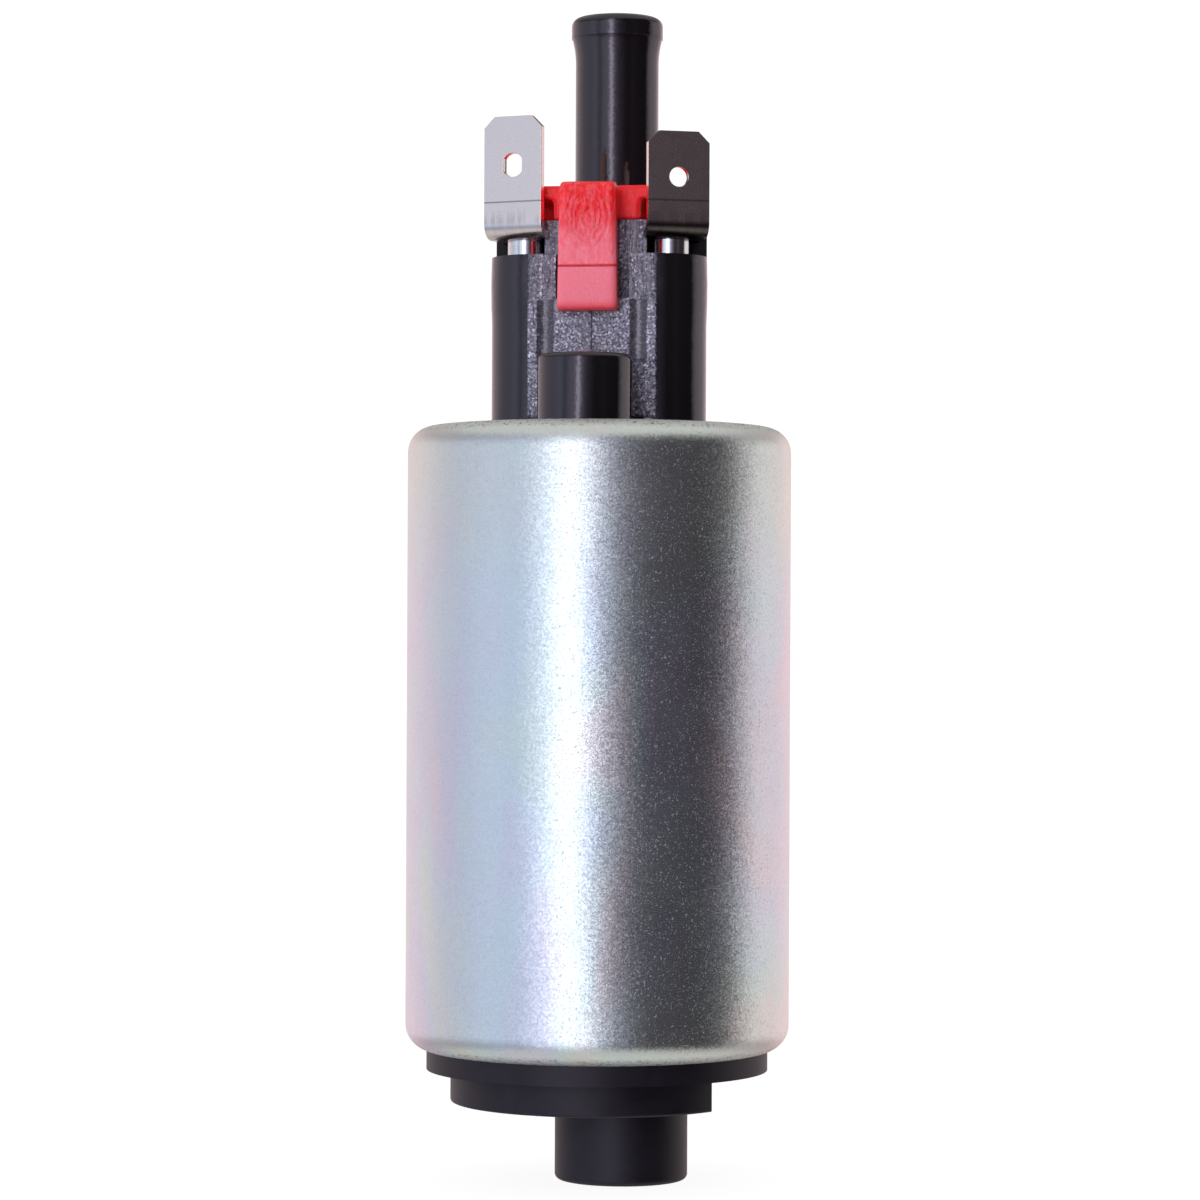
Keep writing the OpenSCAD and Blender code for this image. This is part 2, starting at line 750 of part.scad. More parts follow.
module outer_rotor() {
    color("#5f6266")
        translate([eccentricity, 0, rotor_z + face_gap])
            linear_extrude(rotor_t - 2 * face_gap)
                difference() {
                    circle(r = outer_rotor_r);
                    difference() {
                        circle(r = outer_root_r + tooth_gap);
                        for (i = [0 : outer_teeth - 1])
                            rotate(360 * i / outer_teeth)
                                translate([arc_centre_r, 0]) circle(r = tooth_arc_r);
                    }
                }
}

// Outline of the coupling's keyed end, widened all round by grow
module coupling_keys(grow) {
    circle(r = key_root_r + grow);
    for (a = [0, 120, 240])
        rotate(a)
            intersection() {
                translate([0, -key_w / 2 - grow]) square([2 * coupling_r, key_w + 2 * grow]);
                circle(r = coupling_r + grow - 0.1);
            }
}

module flux_ring() {
    color("#6d7075") tube(stack_r, flux_in_r, motor_z, skirt_z);
}

module magnet(mid) {
    color("#3a3a3d")
        rotate([0, 0, mid - magnet_arc / 2])
            rotate_extrude(angle = magnet_arc)
                translate([magnet_in_r, magnet_z])
                    square([magnet_t, magnet_len]);
}

module magnet_front() { magnet(270); }
module magnet_rear() { magnet(90); }

// Outline of the sheet that pushes two magnets apart: an arc with a leg at each end
module clip_outline() {
    leg = 0.6 * magnet_t;
    spread = magnet_gap_half - 2;
    intersection() {
        difference() {
            circle(r = magnet_out_r);
            circle(r = magnet_out_r - clip_sheet_t);
        }
        polygon([
            [0, 0],
            [can_r, -can_r * tan(spread)],
            [can_r, can_r * tan(spread)]
        ]);
    }
    for (side = [-1, 1])
        rotate(side * magnet_gap_half)
            translate([magnet_out_r - leg, side > 0 ? -clip_sheet_t - lay_gap : lay_gap])
                square([leg - 0.2, clip_sheet_t]);
}

module magnet_clips() {
    color("#a9acb0")
        translate([0, 0, magnet_z])
            linear_extrude(magnet_len)
                for (turn = [0, 180])
                    rotate(turn) clip_outline();
}

module seal_ring(z) {
    color("#101012")
        rotate_extrude()
            translate([can_in_r - face_gap - seal_d / 2, z]) circle(d = seal_d);
}

module inlet_seal() { seal_ring(inlet_groove_z + groove_w / 2); }
module outlet_seal() { seal_ring(outlet_groove_z + groove_w / 2); }

module lower_bearing() {
    color("#9a6b3a")
        tube(lower_bush_d / 2, shaft_d / 2 + running_gap, lower_bush_z, rotor_z - lay_gap);
}

module upper_bearing() {
    color("#9a6b3a")
        tube(
            upper_bush_r,
            shaft_d / 2 + running_gap,
            upper_bush_z,
            upper_bush_z + upper_bush_len
        );
}

module thrust_pad() {
    color("#e8e4d8") disc(lower_bush_d / 2 - press_gap, thrust_pad_z, lower_bush_z);
}

module thrust_washer() {
    color("#efe9d5")
        tube(
            washer_r,
            shaft_d / 2 + press_gap,
            comm_face_z + hub_rise,
            comm_face_z + hub_rise + washer_t
        );
}

module armature_shaft() {
    tip = 0.4;
    color("#d7d9dc") {
        disc(shaft_d / 2, shaft_z0 + tip, shaft_z1 - tip);
        translate([0, 0, shaft_z0])
            cylinder(r1 = shaft_d / 2 - tip, r2 = shaft_d / 2, h = tip);
        translate([0, 0, shaft_z1 - tip])
            cylinder(r1 = shaft_d / 2, r2 = shaft_d / 2 - tip, h = tip);
    }
}

slot_top_r = core_r - 1.2;
slot_mouth_w = 1.4;

// One core slot, drawn in by inset on every side
module slot_outline(inset) {
    half = tan(180 / slots);
    low = slot_floor_r + inset;
    high = slot_top_r - inset;
    low_half = low * half - tooth_w / 2 - inset;
    high_half = high * half - tooth_w / 2 - inset;
    polygon([[low, -low_half], [high, -high_half], [high, high_half], [low, low_half]]);
}

module core_outline(outer_r) {
    difference() {
        circle(r = outer_r);
        for (i = [0 : slots - 1])
            rotate(360 * i / slots) {
                slot_outline(0);
                translate([slot_top_r - 0.5, -slot_mouth_w / 2])
                    square([core_r, slot_mouth_w]);
            }
        circle(r = shaft_d / 2 + press_gap);
    }
}

module armature_core() {
    color("#8b8e93")
        translate([0, 0, core_z0])
            linear_extrude(core_len) core_outline(core_r);
}

module core_insulators() {
    color("#e5dfc8")
        for (z = [core_z0 - insulator_t, core_z1])
            translate([0, 0, z])
                linear_extrude(insulator_t) core_outline(core_r - 0.2);
}

// Wire in the slots, and the rounded bundles that join them at both ends
module armature_windings() {
    inset = 0.2;
    bundle_r = 1.2;
    low_r = slot_floor_r + 0.1;
    high_r = core_r - 0.5;
    bundle_h = end_turn_h - insulator_t;
    color("#b4622d") {
        for (i = [0 : slots - 1])
            rotate([0, 0, 360 * i / slots])
                translate([0, 0, core_z0 - insulator_t])
                    linear_extrude(core_len + 2 * insulator_t) slot_outline(inset);
        for (z = [core_z0 - end_turn_h, core_z1 + insulator_t])
            rotate_extrude()
                translate([low_r, z])
                    end_bundle(high_r - low_r, bundle_h, bundle_r);
    }
}

module end_bundle(w, h, r) {
    translate([r, 0]) square([w - 2 * r, h]);
    translate([0, r]) square([w, h - 2 * r]);
    for (x = [r, w - r], z = [r, h - r])
        translate([x, z]) circle(r = r);
}

module commutator_base() {
    color("#4a3326")
        difference() {
            union() {
                disc(comm_r - hook_t, comm_z, bar_z);
                disc(hub_r, comm_z, comm_face_z + hub_rise);
            }
            disc(shaft_d / 2 + press_gap, comm_z - 1, comm_face_z + hub_rise + 1);
        }
}

// Copper bars, each with a hook for the winding at its outer edge
module commutator_bars() {
    hook_w = 1.6;
    inner_r = shaft_d / 2 + 2.2;
    color("#c77b48")
        difference() {
            union() {
                tube(comm_r, inner_r, bar_z, comm_face_z);
                for (i = [0 : slots - 1])
                    rotate([0, 0, 360 * (i + 0.5) / slots])
                        intersection() {
                            tube(comm_r, comm_r - hook_t + lay_gap, comm_z + 0.4, bar_z + 0.5);
                            translate([0, -hook_w / 2, comm_z])
                                cube([2 * comm_r, hook_w, comm_base_t + 1]);
                        }
            }
            for (i = [0 : slots - 1])
                rotate([0, 0, 360 * i / slots])
                    translate([0, -bar_gap / 2, comm_z - 1])
                        cube([2 * comm_r, bar_gap, comm_base_t + bar_t + 2]);
        }
}

module drive_coupling() {
    color("#e0d9c2")
        difference() {
            union() {
                translate([0, 0, rotor_z + 0.5])
                    linear_extrude(rotor_t) coupling_keys(0);
                disc(coupling_r, outlet_plate_z + 0.3, motor_z + 0.3);
                disc(slot_floor_r - 0.6, motor_z + 0.3, core_z0 - insulator_t);
            }
            disc(shaft_d / 2 + press_gap, rotor_z - 1, core_z0 + 1);
        }
}

module brush(side) {
    color("#2b2b2d")
        translate([side * brush_x, 0, 0]) {
            difference() {
                translate([-brush_w / 2, -brush_w / 2, brush_z0])
                    cube([brush_w, brush_w, brush_len]);
                for (y = [-1, 1])
                    translate([0, y * brush_w / 2, brush_z1])
                        rotate([45, 0, 0])
                            cube([2 * brush_w, 0.6, 0.6], center = true);
            }
            disc(brush_spring_d / 2 - brush_wire_d - 0.2, brush_z1 - 0.5, brush_z1 + pilot_h);
        }
}

module brush_left() { brush(-1); }
module brush_right() { brush(1); }

module brush_spring(side, name) {
    color("#c9cbce")
        translate([side * brush_x, 0, 0])
            coil(
                name,
                brush_spring_d / 2 - brush_wire_d / 2,
                brush_wire_d,
                brush_z1 + face_gap,
                anchor_z - face_gap,
                brush_coils
            );
}

module brush_spring_left() { brush_spring(-1, "brush_spring_left"); }
module brush_spring_right() { brush_spring(1, "brush_spring_right"); }

// Braided lead inside the spring, drawn as a loose twist
module brush_shunt(side, name) {
    twist_r = 0.42;
    color("#b9713f")
        translate([side * brush_x, 0, 0])
            coil(
                name,
                twist_r,
                shunt_d,
                brush_z1 + pilot_h + face_gap,
                anchor_z - face_gap,
                3
            );
}

module brush_shunt_left() { brush_shunt(-1, "brush_shunt_left"); }
module brush_shunt_right() { brush_shunt(1, "brush_shunt_right"); }

// One rounded end of the tower pair, which swells a little near its top
module tower_end() {
    swell_z = tower_top_z - swell_drop;
    swell_foot_z = tower_top_z - swell_foot_drop;
    rotate_extrude()
        polygon([
            [0, cap_z - 1],
            [tower_r, cap_z - 1],
            [tower_r, swell_foot_z],
            [tower_r + 0.7 * tower_swell, (swell_foot_z + swell_z) / 2],
            [tower_r + tower_swell, swell_z],
            [tower_r + 0.4 * tower_swell, tower_top_z],
            [0, tower_top_z]
        ]);
}

module tower_pair() {
    difference() {
        union() {
            for (side = [-1, 1])
                translate([side * tower_x, tower_y, 0]) tower_end();
            translate([-tower_x, tower_front_y, cap_z - 1])
                cube([2 * tower_x, 2 * tower_r, tower_top_z - cap_z + 1]);
        }
        translate([-groove_half_w, tower_front_y - 1, groove_z])
            cube([2 * groove_half_w, mast_setback + 1, groove_h + 1]);
    }
    front_pad();
}

// Raised pad on the towers' front, with two shallow flutes down it
module front_pad() {
    pad_y = tower_front_y - pad_proud;
    pad_z0 = groove_z - pad_h;
    flute_r = (flute_w * flute_w / 4 + flute_depth * flute_depth) / (2 * flute_depth);
    difference() {
        translate([-pad_half_w, pad_y, pad_z0])
            cube([2 * pad_half_w, pad_proud + 1, pad_h - pad_proud]);
        for (side = [-1, 1])
            translate([side * flute_x, pad_y + flute_depth - flute_r, pad_z0 - 1])
                cylinder(r = flute_r, h = pad_h + 2);
    }
}

// Mast between the posts, and the wall behind them
module mast() {
    translate([-mast_half_w, mast_front_y, tower_top_z - 1])
        cube([2 * mast_half_w, rear_wall_y - mast_front_y + 1, mast_h + 1]);
    intersection() {
        union() {
            for (side = [-1, 1])
                translate([side * tower_x, tower_y, 0])
                    disc(tower_r + tower_swell, tower_top_z - 1, mast_top_z);
            translate([-tower_x, tower_front_y, tower_top_z - 1])
                cube([2 * tower_x, 2 * tower_r, mast_h + 1]);
        }
        translate([-can_r, rear_wall_y, tower_top_z - 1])
            cube([can_d, can_d, mast_h + 1]);
    }
}

module outlet_tube() {
    r = outlet_d / 2;
    bead_r = bead_d / 2;
    land_z1 = outlet_top_z - bead_round_r;
    land_z0 = land_z1 - bead_land;
    translate([0, outlet_y, 0])
        rotate_extrude() {
            polygon([
                [0, cap_z - 1],
                [collar_d / 2, cap_z - 1],
                [collar_d / 2, cap_z + collar_h - 0.5],
                [collar_d / 2 - 0.5, cap_z + collar_h],
                [r, cap_z + collar_h],
                for (i = [0 : 6])
                    let (share = i / 6)
                    [
                        r + (bead_r - bead_step - r) * share * share,
                        land_z0 - bead_blend * (1 - share)
                    ],
                [bead_r, land_z0],
                [bead_r, land_z1],
                [0, land_z1]
            ]);
            translate([0, land_z1]) square([bead_r - bead_round_r, bead_round_r]);
            intersection() {
                translate([bead_r - bead_round_r, land_z1]) circle(r = bead_round_r);
                translate([0, land_z1]) square([bead_r, bead_round_r]);
            }
        }
}

module relief_tower() {
    r = relief_d / 2;
    translate([0, -relief_y, 0])
        rotate_extrude() {
            translate([0, cap_z - 1]) square([r, relief_top_z - relief_round_r - cap_z + 1]);
            translate([0, cap_z]) square([r - relief_round_r, relief_h]);
            intersection() {
                translate([r - relief_round_r, relief_top_z - relief_round_r])
                    circle(r = relief_round_r);
                translate([0, cap_z]) square([r, relief_h]);
            }
        }
}

// Guide that hangs down round each brush, under the cap's ceiling
module brush_guides() {
    half = channel_half + channel_wall;
    for (side = [-1, 1])
        translate([side * brush_x - half, -half, guide_foot_z])
            cube([2 * half, 2 * half, cap_z - guide_foot_z - 1]);
}

module outlet_cap() {
    web_h = tower_h - web_drop;
    color("#1b1b1e")
        difference() {
            union() {
                difference() {
                    union() {
                        rotate_extrude()
                            corner_plug(skirt_z, can_z1 - can_wall, can_z1 - can_roll_r, true);
                        disc(disc_r, can_z1 - can_wall - lay_gap, cap_z);
                    }
                    disc(cavity_r, skirt_z - 1, cap_ceiling_z);
                    tube(can_r, groove_r, outlet_groove_z, outlet_groove_z + groove_w);
                }
                brush_guides();
                disc(upper_bush_r + boss_wall, upper_bush_z - 0.4, cap_z - 1);
                tower_pair();
                mast();
                outlet_tube();
                relief_tower();
                translate([-web_t / 2, tower_y, cap_z - 1])
                    cube([web_t, outlet_y - tower_y, web_h + 1]);
            }
            for (side = [-1, 1]) {
                translate([side * brush_x - channel_half, -channel_half, guide_foot_z - 1])
                    cube([2 * channel_half, 2 * channel_half, channel_top_z - guide_foot_z + 1]);
                translate([side * post_x, post_y, 0])
                    disc(post_d / 2 + press_gap, channel_top_z, tower_top_z + 1);
            }
            disc(upper_bush_r + press_gap, skirt_z, upper_bush_z + upper_bush_len);
            translate([0, outlet_y, 0]) {
                disc(check_port_d / 2, skirt_z, check_seat_z + 1);
                disc(outlet_bore_d / 2, check_seat_z, outlet_top_z + 1);
            }
            translate([0, -relief_y, 0]) {
                disc(relief_port_r, skirt_z, relief_seat_z + 1);
                disc(relief_bore_d / 2, relief_seat_z, relief_top_z + 1);
            }
        }
}

// Round post with its anchor in the brush channel and its riveted head
module terminal_post(side) {
    head_r = post_d / 2 - 0.35;
    anchor_half = channel_half - glide_gap;
    color("#dfe1e4") {
        translate([side * post_x, post_y, 0]) {
            disc(post_d / 2, channel_top_z, tab_z);
            disc(rivet_r, tab_z - 0.5, tab_z + blade_t + head_h);
            translate([0, 0, tab_z + blade_t])
                cylinder(r1 = head_r, r2 = rivet_r, h = head_h);
        }
        translate([side * brush_x - anchor_half, -anchor_half, anchor_z])
            cube([2 * anchor_half, 2 * anchor_half, anchor_t]);
    }
}

module terminal_post_left() { terminal_post(-1); }
module terminal_post_right() { terminal_post(1); }

// Flat blade outline with chamfered tips, and a hole with two flat sides
module blade_outline(height, hole_drop, hole_h, hole_w) {
    half = blade_w / 2;
    difference() {
        polygon([
            [-half, bend_r],
            [half, bend_r],
            [half, height - blade_cut],
            [half - blade_cut, height],
            [-half + blade_cut, height],
            [-half, height - blade_cut]
        ]);
        translate([0, height - hole_drop])
            intersection() {
                circle(d = hole_h);
                translate([-hole_w / 2, -hole_h]) square([hole_w, 2 * hole_h]);
            }
    }
}

// Tab outline on the post: round on the mast's side, full width on the other
module tab_outline(side, reach) {
    eye_r = post_d / 2;
    half = blade_w / 2;
    back = eye_r + tab_back;
    difference() {
        union() {
            circle(r = eye_r);
            translate([side > 0 ? 0 : -half, bend_r - reach]) square([half, reach - bend_r + back]);
            translate([-half, bend_r - reach]) square([blade_w, tab_lip]);
        }
        circle(r = rivet_r + press_gap);
    }
}

// Bent sheet: a tab riveted on the post, a round bend and an upright blade
module terminal_blade(side, turn, reach, height, hole_drop, hole_h, hole_w) {
    color("#cfd0d2")
        translate([side * post_x, post_y, tab_z])
            rotate([0, 0, side * turn]) {
                linear_extrude(blade_t) tab_outline(side, reach);
                translate([-blade_w / 2, bend_r - reach, bend_r])
                    rotate([0, 90, 0])
                        rotate([0, 0, -90])
                            rotate_extrude(angle = 90)
                                translate([bend_r - blade_t, 0]) square([blade_t, blade_w]);
                translate([0, blade_t - reach, 0])
                    rotate([90, 0, 0])
                        linear_extrude(blade_t) blade_outline(height, hole_drop, hole_h, hole_w);
            }
}

module terminal_blade_left() {
    terminal_blade(
        -1,
        left_blade_turn,
        left_reach,
        left_blade_h,
        left_hole_drop,
        left_hole_h,
        left_hole_w
    );
}

// The right blade's hole is round, since its sides lie outside the circle
module terminal_blade_right() {
    terminal_blade(
        1,
        right_blade_turn,
        right_reach,
        right_blade_h,
        right_hole_drop,
        right_hole_d,
        2 * right_hole_d
    );
}

// Tongue outline seen from the side, rounded at its top and its foot
module tongue_side(top_z, foot_z, back_y, front_y) {
    top_r = tongue_top_r;
    foot_r = tongue_round_r;
    difference() {
        translate([front_y, foot_z]) square([back_y - front_y, top_z - foot_z]);
        difference() {
            translate([front_y - 1, top_z - top_r]) square([top_r + 1, top_r + 1]);
            translate([front_y + top_r, top_z - top_r]) circle(r = top_r);
        }
        difference() {
            translate([front_y - 1, foot_z - 1]) square([foot_r + 1, foot_r + 1]);
            translate([front_y + foot_r, foot_z + foot_r]) circle(r = foot_r);
        }
    }
}

// Tongue that snaps down the towers' front, wider at its foot, with rounded edges
module tongue(top_z, foot_z, back_y, front_y) {
    edge_r = tongue_side_r;
    slice_h = 0.1;
    intersection() {
        translate([-tongue_w, 0, 0])
            rotate([90, 0, 90])
                linear_extrude(2 * tongue_w) tongue_side(top_z, foot_z, back_y, front_y);
        hull()
            for (slice = [[top_z + 1, tongue_top_w], [foot_z - 1, tongue_w]])
                for (side = [-1, 1]) {
                    x = side * (slice[1] / 2 - edge_r);
                    translate([x, front_y + edge_r, slice[0]])
                        cylinder(r = edge_r, h = slice_h, $fn = 32);
                    translate([side > 0 ? x : x - edge_r, back_y, slice[0]])
                        cube([edge_r, 1, slice_h]);
                }
    }
}

// Insulating clip over the mast, with the tongue that snaps down its front
module terminal_clip() {
    clip_z0 = mast_top_z;
    clip_z1 = clip_z0 + bar_h;
    block_y = mast_front_y - block_proud;
    tongue_back_y = tower_front_y - pad_proud - lay_gap;
    rear_y = tower_back_y + lay_gap;
    bar_y = rear_y - bar_depth;
    recess_y = rear_wall_y + 0.4;
    bridge_w = tongue_top_w - 0.6;
    color("#dc3a44") {
        translate([-bar_half_w, bar_y, clip_z1 - clip_top_t])
            cube([2 * bar_half_w, rear_y - bar_y, clip_top_t]);
        translate([-neck_half_w, block_y, clip_z1 - clip_top_t])
            cube([2 * neck_half_w, rear_y - block_y, clip_top_t]);
        translate([block_shift - block_half_w, block_y, clip_z0])
            cube([2 * block_half_w, rear_y - block_y, bar_h]);
        translate([-bar_half_w, recess_y, clip_z0])
            cube([2 * bar_half_w, rear_y - recess_y, bar_h]);
        translate([-rear_leg_half_w, rear_y, clip_z0 - rear_leg_h])
            cube([2 * rear_leg_half_w, rear_leg_t, rear_leg_h + bar_h]);
        translate([tongue_shift, 0, 0]) {
            tongue(clip_z1, tower_top_z - tongue_drop, tongue_back_y, tongue_back_y - tongue_t);
            translate([-bridge_w / 2, tongue_back_y - 0.5, clip_z0])
                cube([bridge_w, block_y - tongue_back_y + 1, bar_h - 0.3]);
        }
    }
}

module check_poppet() {
    color("#d9c9a0")
        translate([0, outlet_y, 0]) {
            disc(poppet_d / 2, poppet_z, poppet_top_z);
            disc(poppet_pilot_r, poppet_top_z - 0.5, poppet_top_z + 0.8);
            disc(poppet_stem_d / 2, poppet_top_z - 0.5, poppet_top_z + poppet_stem_len);
        }
}

module check_face() {
    color("#202022")
        translate([0, outlet_y, 0]) {
            disc(poppet_d / 2, poppet_z - face_t, poppet_z);
            translate([0, 0, poppet_z - face_t - 0.8])
                cylinder(r1 = 0.8, r2 = check_port_d / 2 - 0.3, h = 0.8);
        }
}

module check_spring() {
    color("#c9cbce")
        translate([0, outlet_y, 0])
            coil(
                "check_spring",
                check_spring_d / 2 - check_wire_d / 2,
                check_wire_d,
                poppet_top_z + face_gap,
                guide_z - face_gap,
                check_coils
            );
}

// Pressed-in ring with three arms that hold the poppet's stem
module check_guide() {
    ring_t = 0.6;
    arm_w = 0.9;
    hub_r = poppet_stem_d / 2 + 0.7;
    color("#c8c2b0")
        translate([0, outlet_y, 0])
            difference() {
                union() {
                    tube(
                        outlet_bore_d / 2 - press_gap,
                        outlet_bore_d / 2 - ring_t,
                        guide_z,
                        guide_z + guide_t
                    );
                    disc(hub_r, guide_z, guide_z + guide_t);
                    for (a = [90, 210, 330])
                        rotate([0, 0, a])
                            translate([0, -arm_w / 2, guide_z])
                                cube([outlet_bore_d / 2 - ring_t / 2, arm_w, guide_t]);
                }
                disc(poppet_stem_d / 2 + glide_gap, guide_z - 1, guide_z + guide_t + 1);
            }
}

module relief_ball() {
    color("#d7d9dc")
        translate([0, -relief_y, ball_z]) sphere(r = ball_r);
}

module relief_spring() {
    color("#c9cbce")
        translate([0, -relief_y, 0])
            coil(
                "relief_spring",
                relief_coil_r,
                relief_wire_d,
                relief_spring_z,
                plug_z - face_gap,
                relief_coils
            );
}

module relief_plug() {
    color("#b89a55")
        translate([0, -relief_y, 0])
            tube(relief_bore_d / 2 - press_gap, plug_hole_d / 2, plug_z, plug_z + plug_t);
}

steel_can();
outlet_cap();
inlet_cover();
inlet_plate();
rotor_ring();
outlet_plate();
dowel_pins();
outer_rotor();
inner_rotor();
flux_ring();
magnet_front();
magnet_rear();
magnet_clips();
inlet_seal();
outlet_seal();
lower_bearing();
upper_bearing();
thrust_pad();
thrust_washer();
armature_shaft();
armature_core();
core_insulators();
armature_windings();
commutator_base();
commutator_bars();
drive_coupling();
brush_left();
brush_right();
brush_spring_left();
brush_spring_right();
brush_shunt_left();
brush_shunt_right();
terminal_post_left();
terminal_post_right();
terminal_blade_left();
terminal_blade_right();
terminal_clip();
check_poppet();
check_face();
check_spring();
check_guide();
relief_ball();
relief_spring();
relief_plug();
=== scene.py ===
# Looks of an electric fuel pump: a rolled steel can, black moulded ends and a red terminal clip.
# Lengths are in metres unless a name ends in _mm, and MM turns millimetres into metres.
# A pair of places holds where an effect starts and where it is full.
import json
import math

import bmesh
import bpy
from mathutils import Matrix, Vector

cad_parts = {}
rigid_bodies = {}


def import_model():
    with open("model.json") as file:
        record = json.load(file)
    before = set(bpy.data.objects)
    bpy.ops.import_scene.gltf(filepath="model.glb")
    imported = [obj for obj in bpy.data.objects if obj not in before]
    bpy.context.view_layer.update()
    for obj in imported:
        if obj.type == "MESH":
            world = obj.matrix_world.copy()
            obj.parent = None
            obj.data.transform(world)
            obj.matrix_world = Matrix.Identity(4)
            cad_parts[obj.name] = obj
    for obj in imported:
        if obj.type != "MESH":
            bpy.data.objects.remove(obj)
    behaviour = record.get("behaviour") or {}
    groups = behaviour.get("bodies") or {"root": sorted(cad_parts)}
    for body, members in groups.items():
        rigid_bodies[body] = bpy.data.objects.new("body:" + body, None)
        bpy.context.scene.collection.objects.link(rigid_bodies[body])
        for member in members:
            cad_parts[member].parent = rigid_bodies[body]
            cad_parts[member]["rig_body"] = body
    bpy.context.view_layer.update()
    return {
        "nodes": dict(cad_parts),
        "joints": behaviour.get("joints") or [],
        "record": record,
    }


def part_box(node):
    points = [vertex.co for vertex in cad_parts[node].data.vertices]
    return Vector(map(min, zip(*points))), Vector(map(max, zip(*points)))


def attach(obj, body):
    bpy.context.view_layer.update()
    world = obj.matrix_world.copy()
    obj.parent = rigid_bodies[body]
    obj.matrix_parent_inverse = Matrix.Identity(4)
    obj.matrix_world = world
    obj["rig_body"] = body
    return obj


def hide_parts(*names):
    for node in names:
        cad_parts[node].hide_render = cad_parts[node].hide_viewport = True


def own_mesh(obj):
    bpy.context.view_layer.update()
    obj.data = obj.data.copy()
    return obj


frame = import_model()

MM = 0.001
nodes = frame["nodes"]
scene = bpy.context.scene
scene.view_settings.view_transform = "Standard"


# Camera, which stands level in front of the can and a little to its right
VIEW_AZIMUTH = math.radians(8)
VIEW_DISTANCE = 394 * MM
VIEW_HEIGHT = 54.2 * MM
VIEW_ROLL = 0.0045
FOCAL_PIXELS = 3868
FRAME_PIXELS = 1200
SHIFT_RIGHT_PIXELS = 1.3
SHIFT_UP_PIXELS = 46
SENSOR_MM = 36
CLIP_START = 10 * MM


def make_camera():
    """The camera of the photograph, found from six circles on the can and its ends."""
    data = bpy.data.cameras.new("photo_camera")
    data.sensor_width = SENSOR_MM
    data.lens = SENSOR_MM * FOCAL_PIXELS / FRAME_PIXELS
    data.shift_x = SHIFT_RIGHT_PIXELS / FRAME_PIXELS
    data.shift_y = SHIFT_UP_PIXELS / FRAME_PIXELS
    data.clip_start = CLIP_START
    camera = bpy.data.objects.new("photo_camera", data)
    scene.collection.objects.link(camera)
    back = Vector((math.sin(VIEW_AZIMUTH), -math.cos(VIEW_AZIMUTH), 0))
    level_right = Vector((0, 0, 1)).cross(back)
    right = level_right * math.cos(VIEW_ROLL) + Vector((0, 0, math.sin(VIEW_ROLL)))
    up = back.cross(right)
    place = back * VIEW_DISTANCE + Vector((0, 0, VIEW_HEIGHT))
    camera.matrix_world = Matrix((
        (right.x, up.x, back.x, place.x),
        (right.y, up.y, back.y, place.y),
        (right.z, up.z, back.z, place.z),
        (0, 0, 0, 1),
    ))
    scene.camera = camera


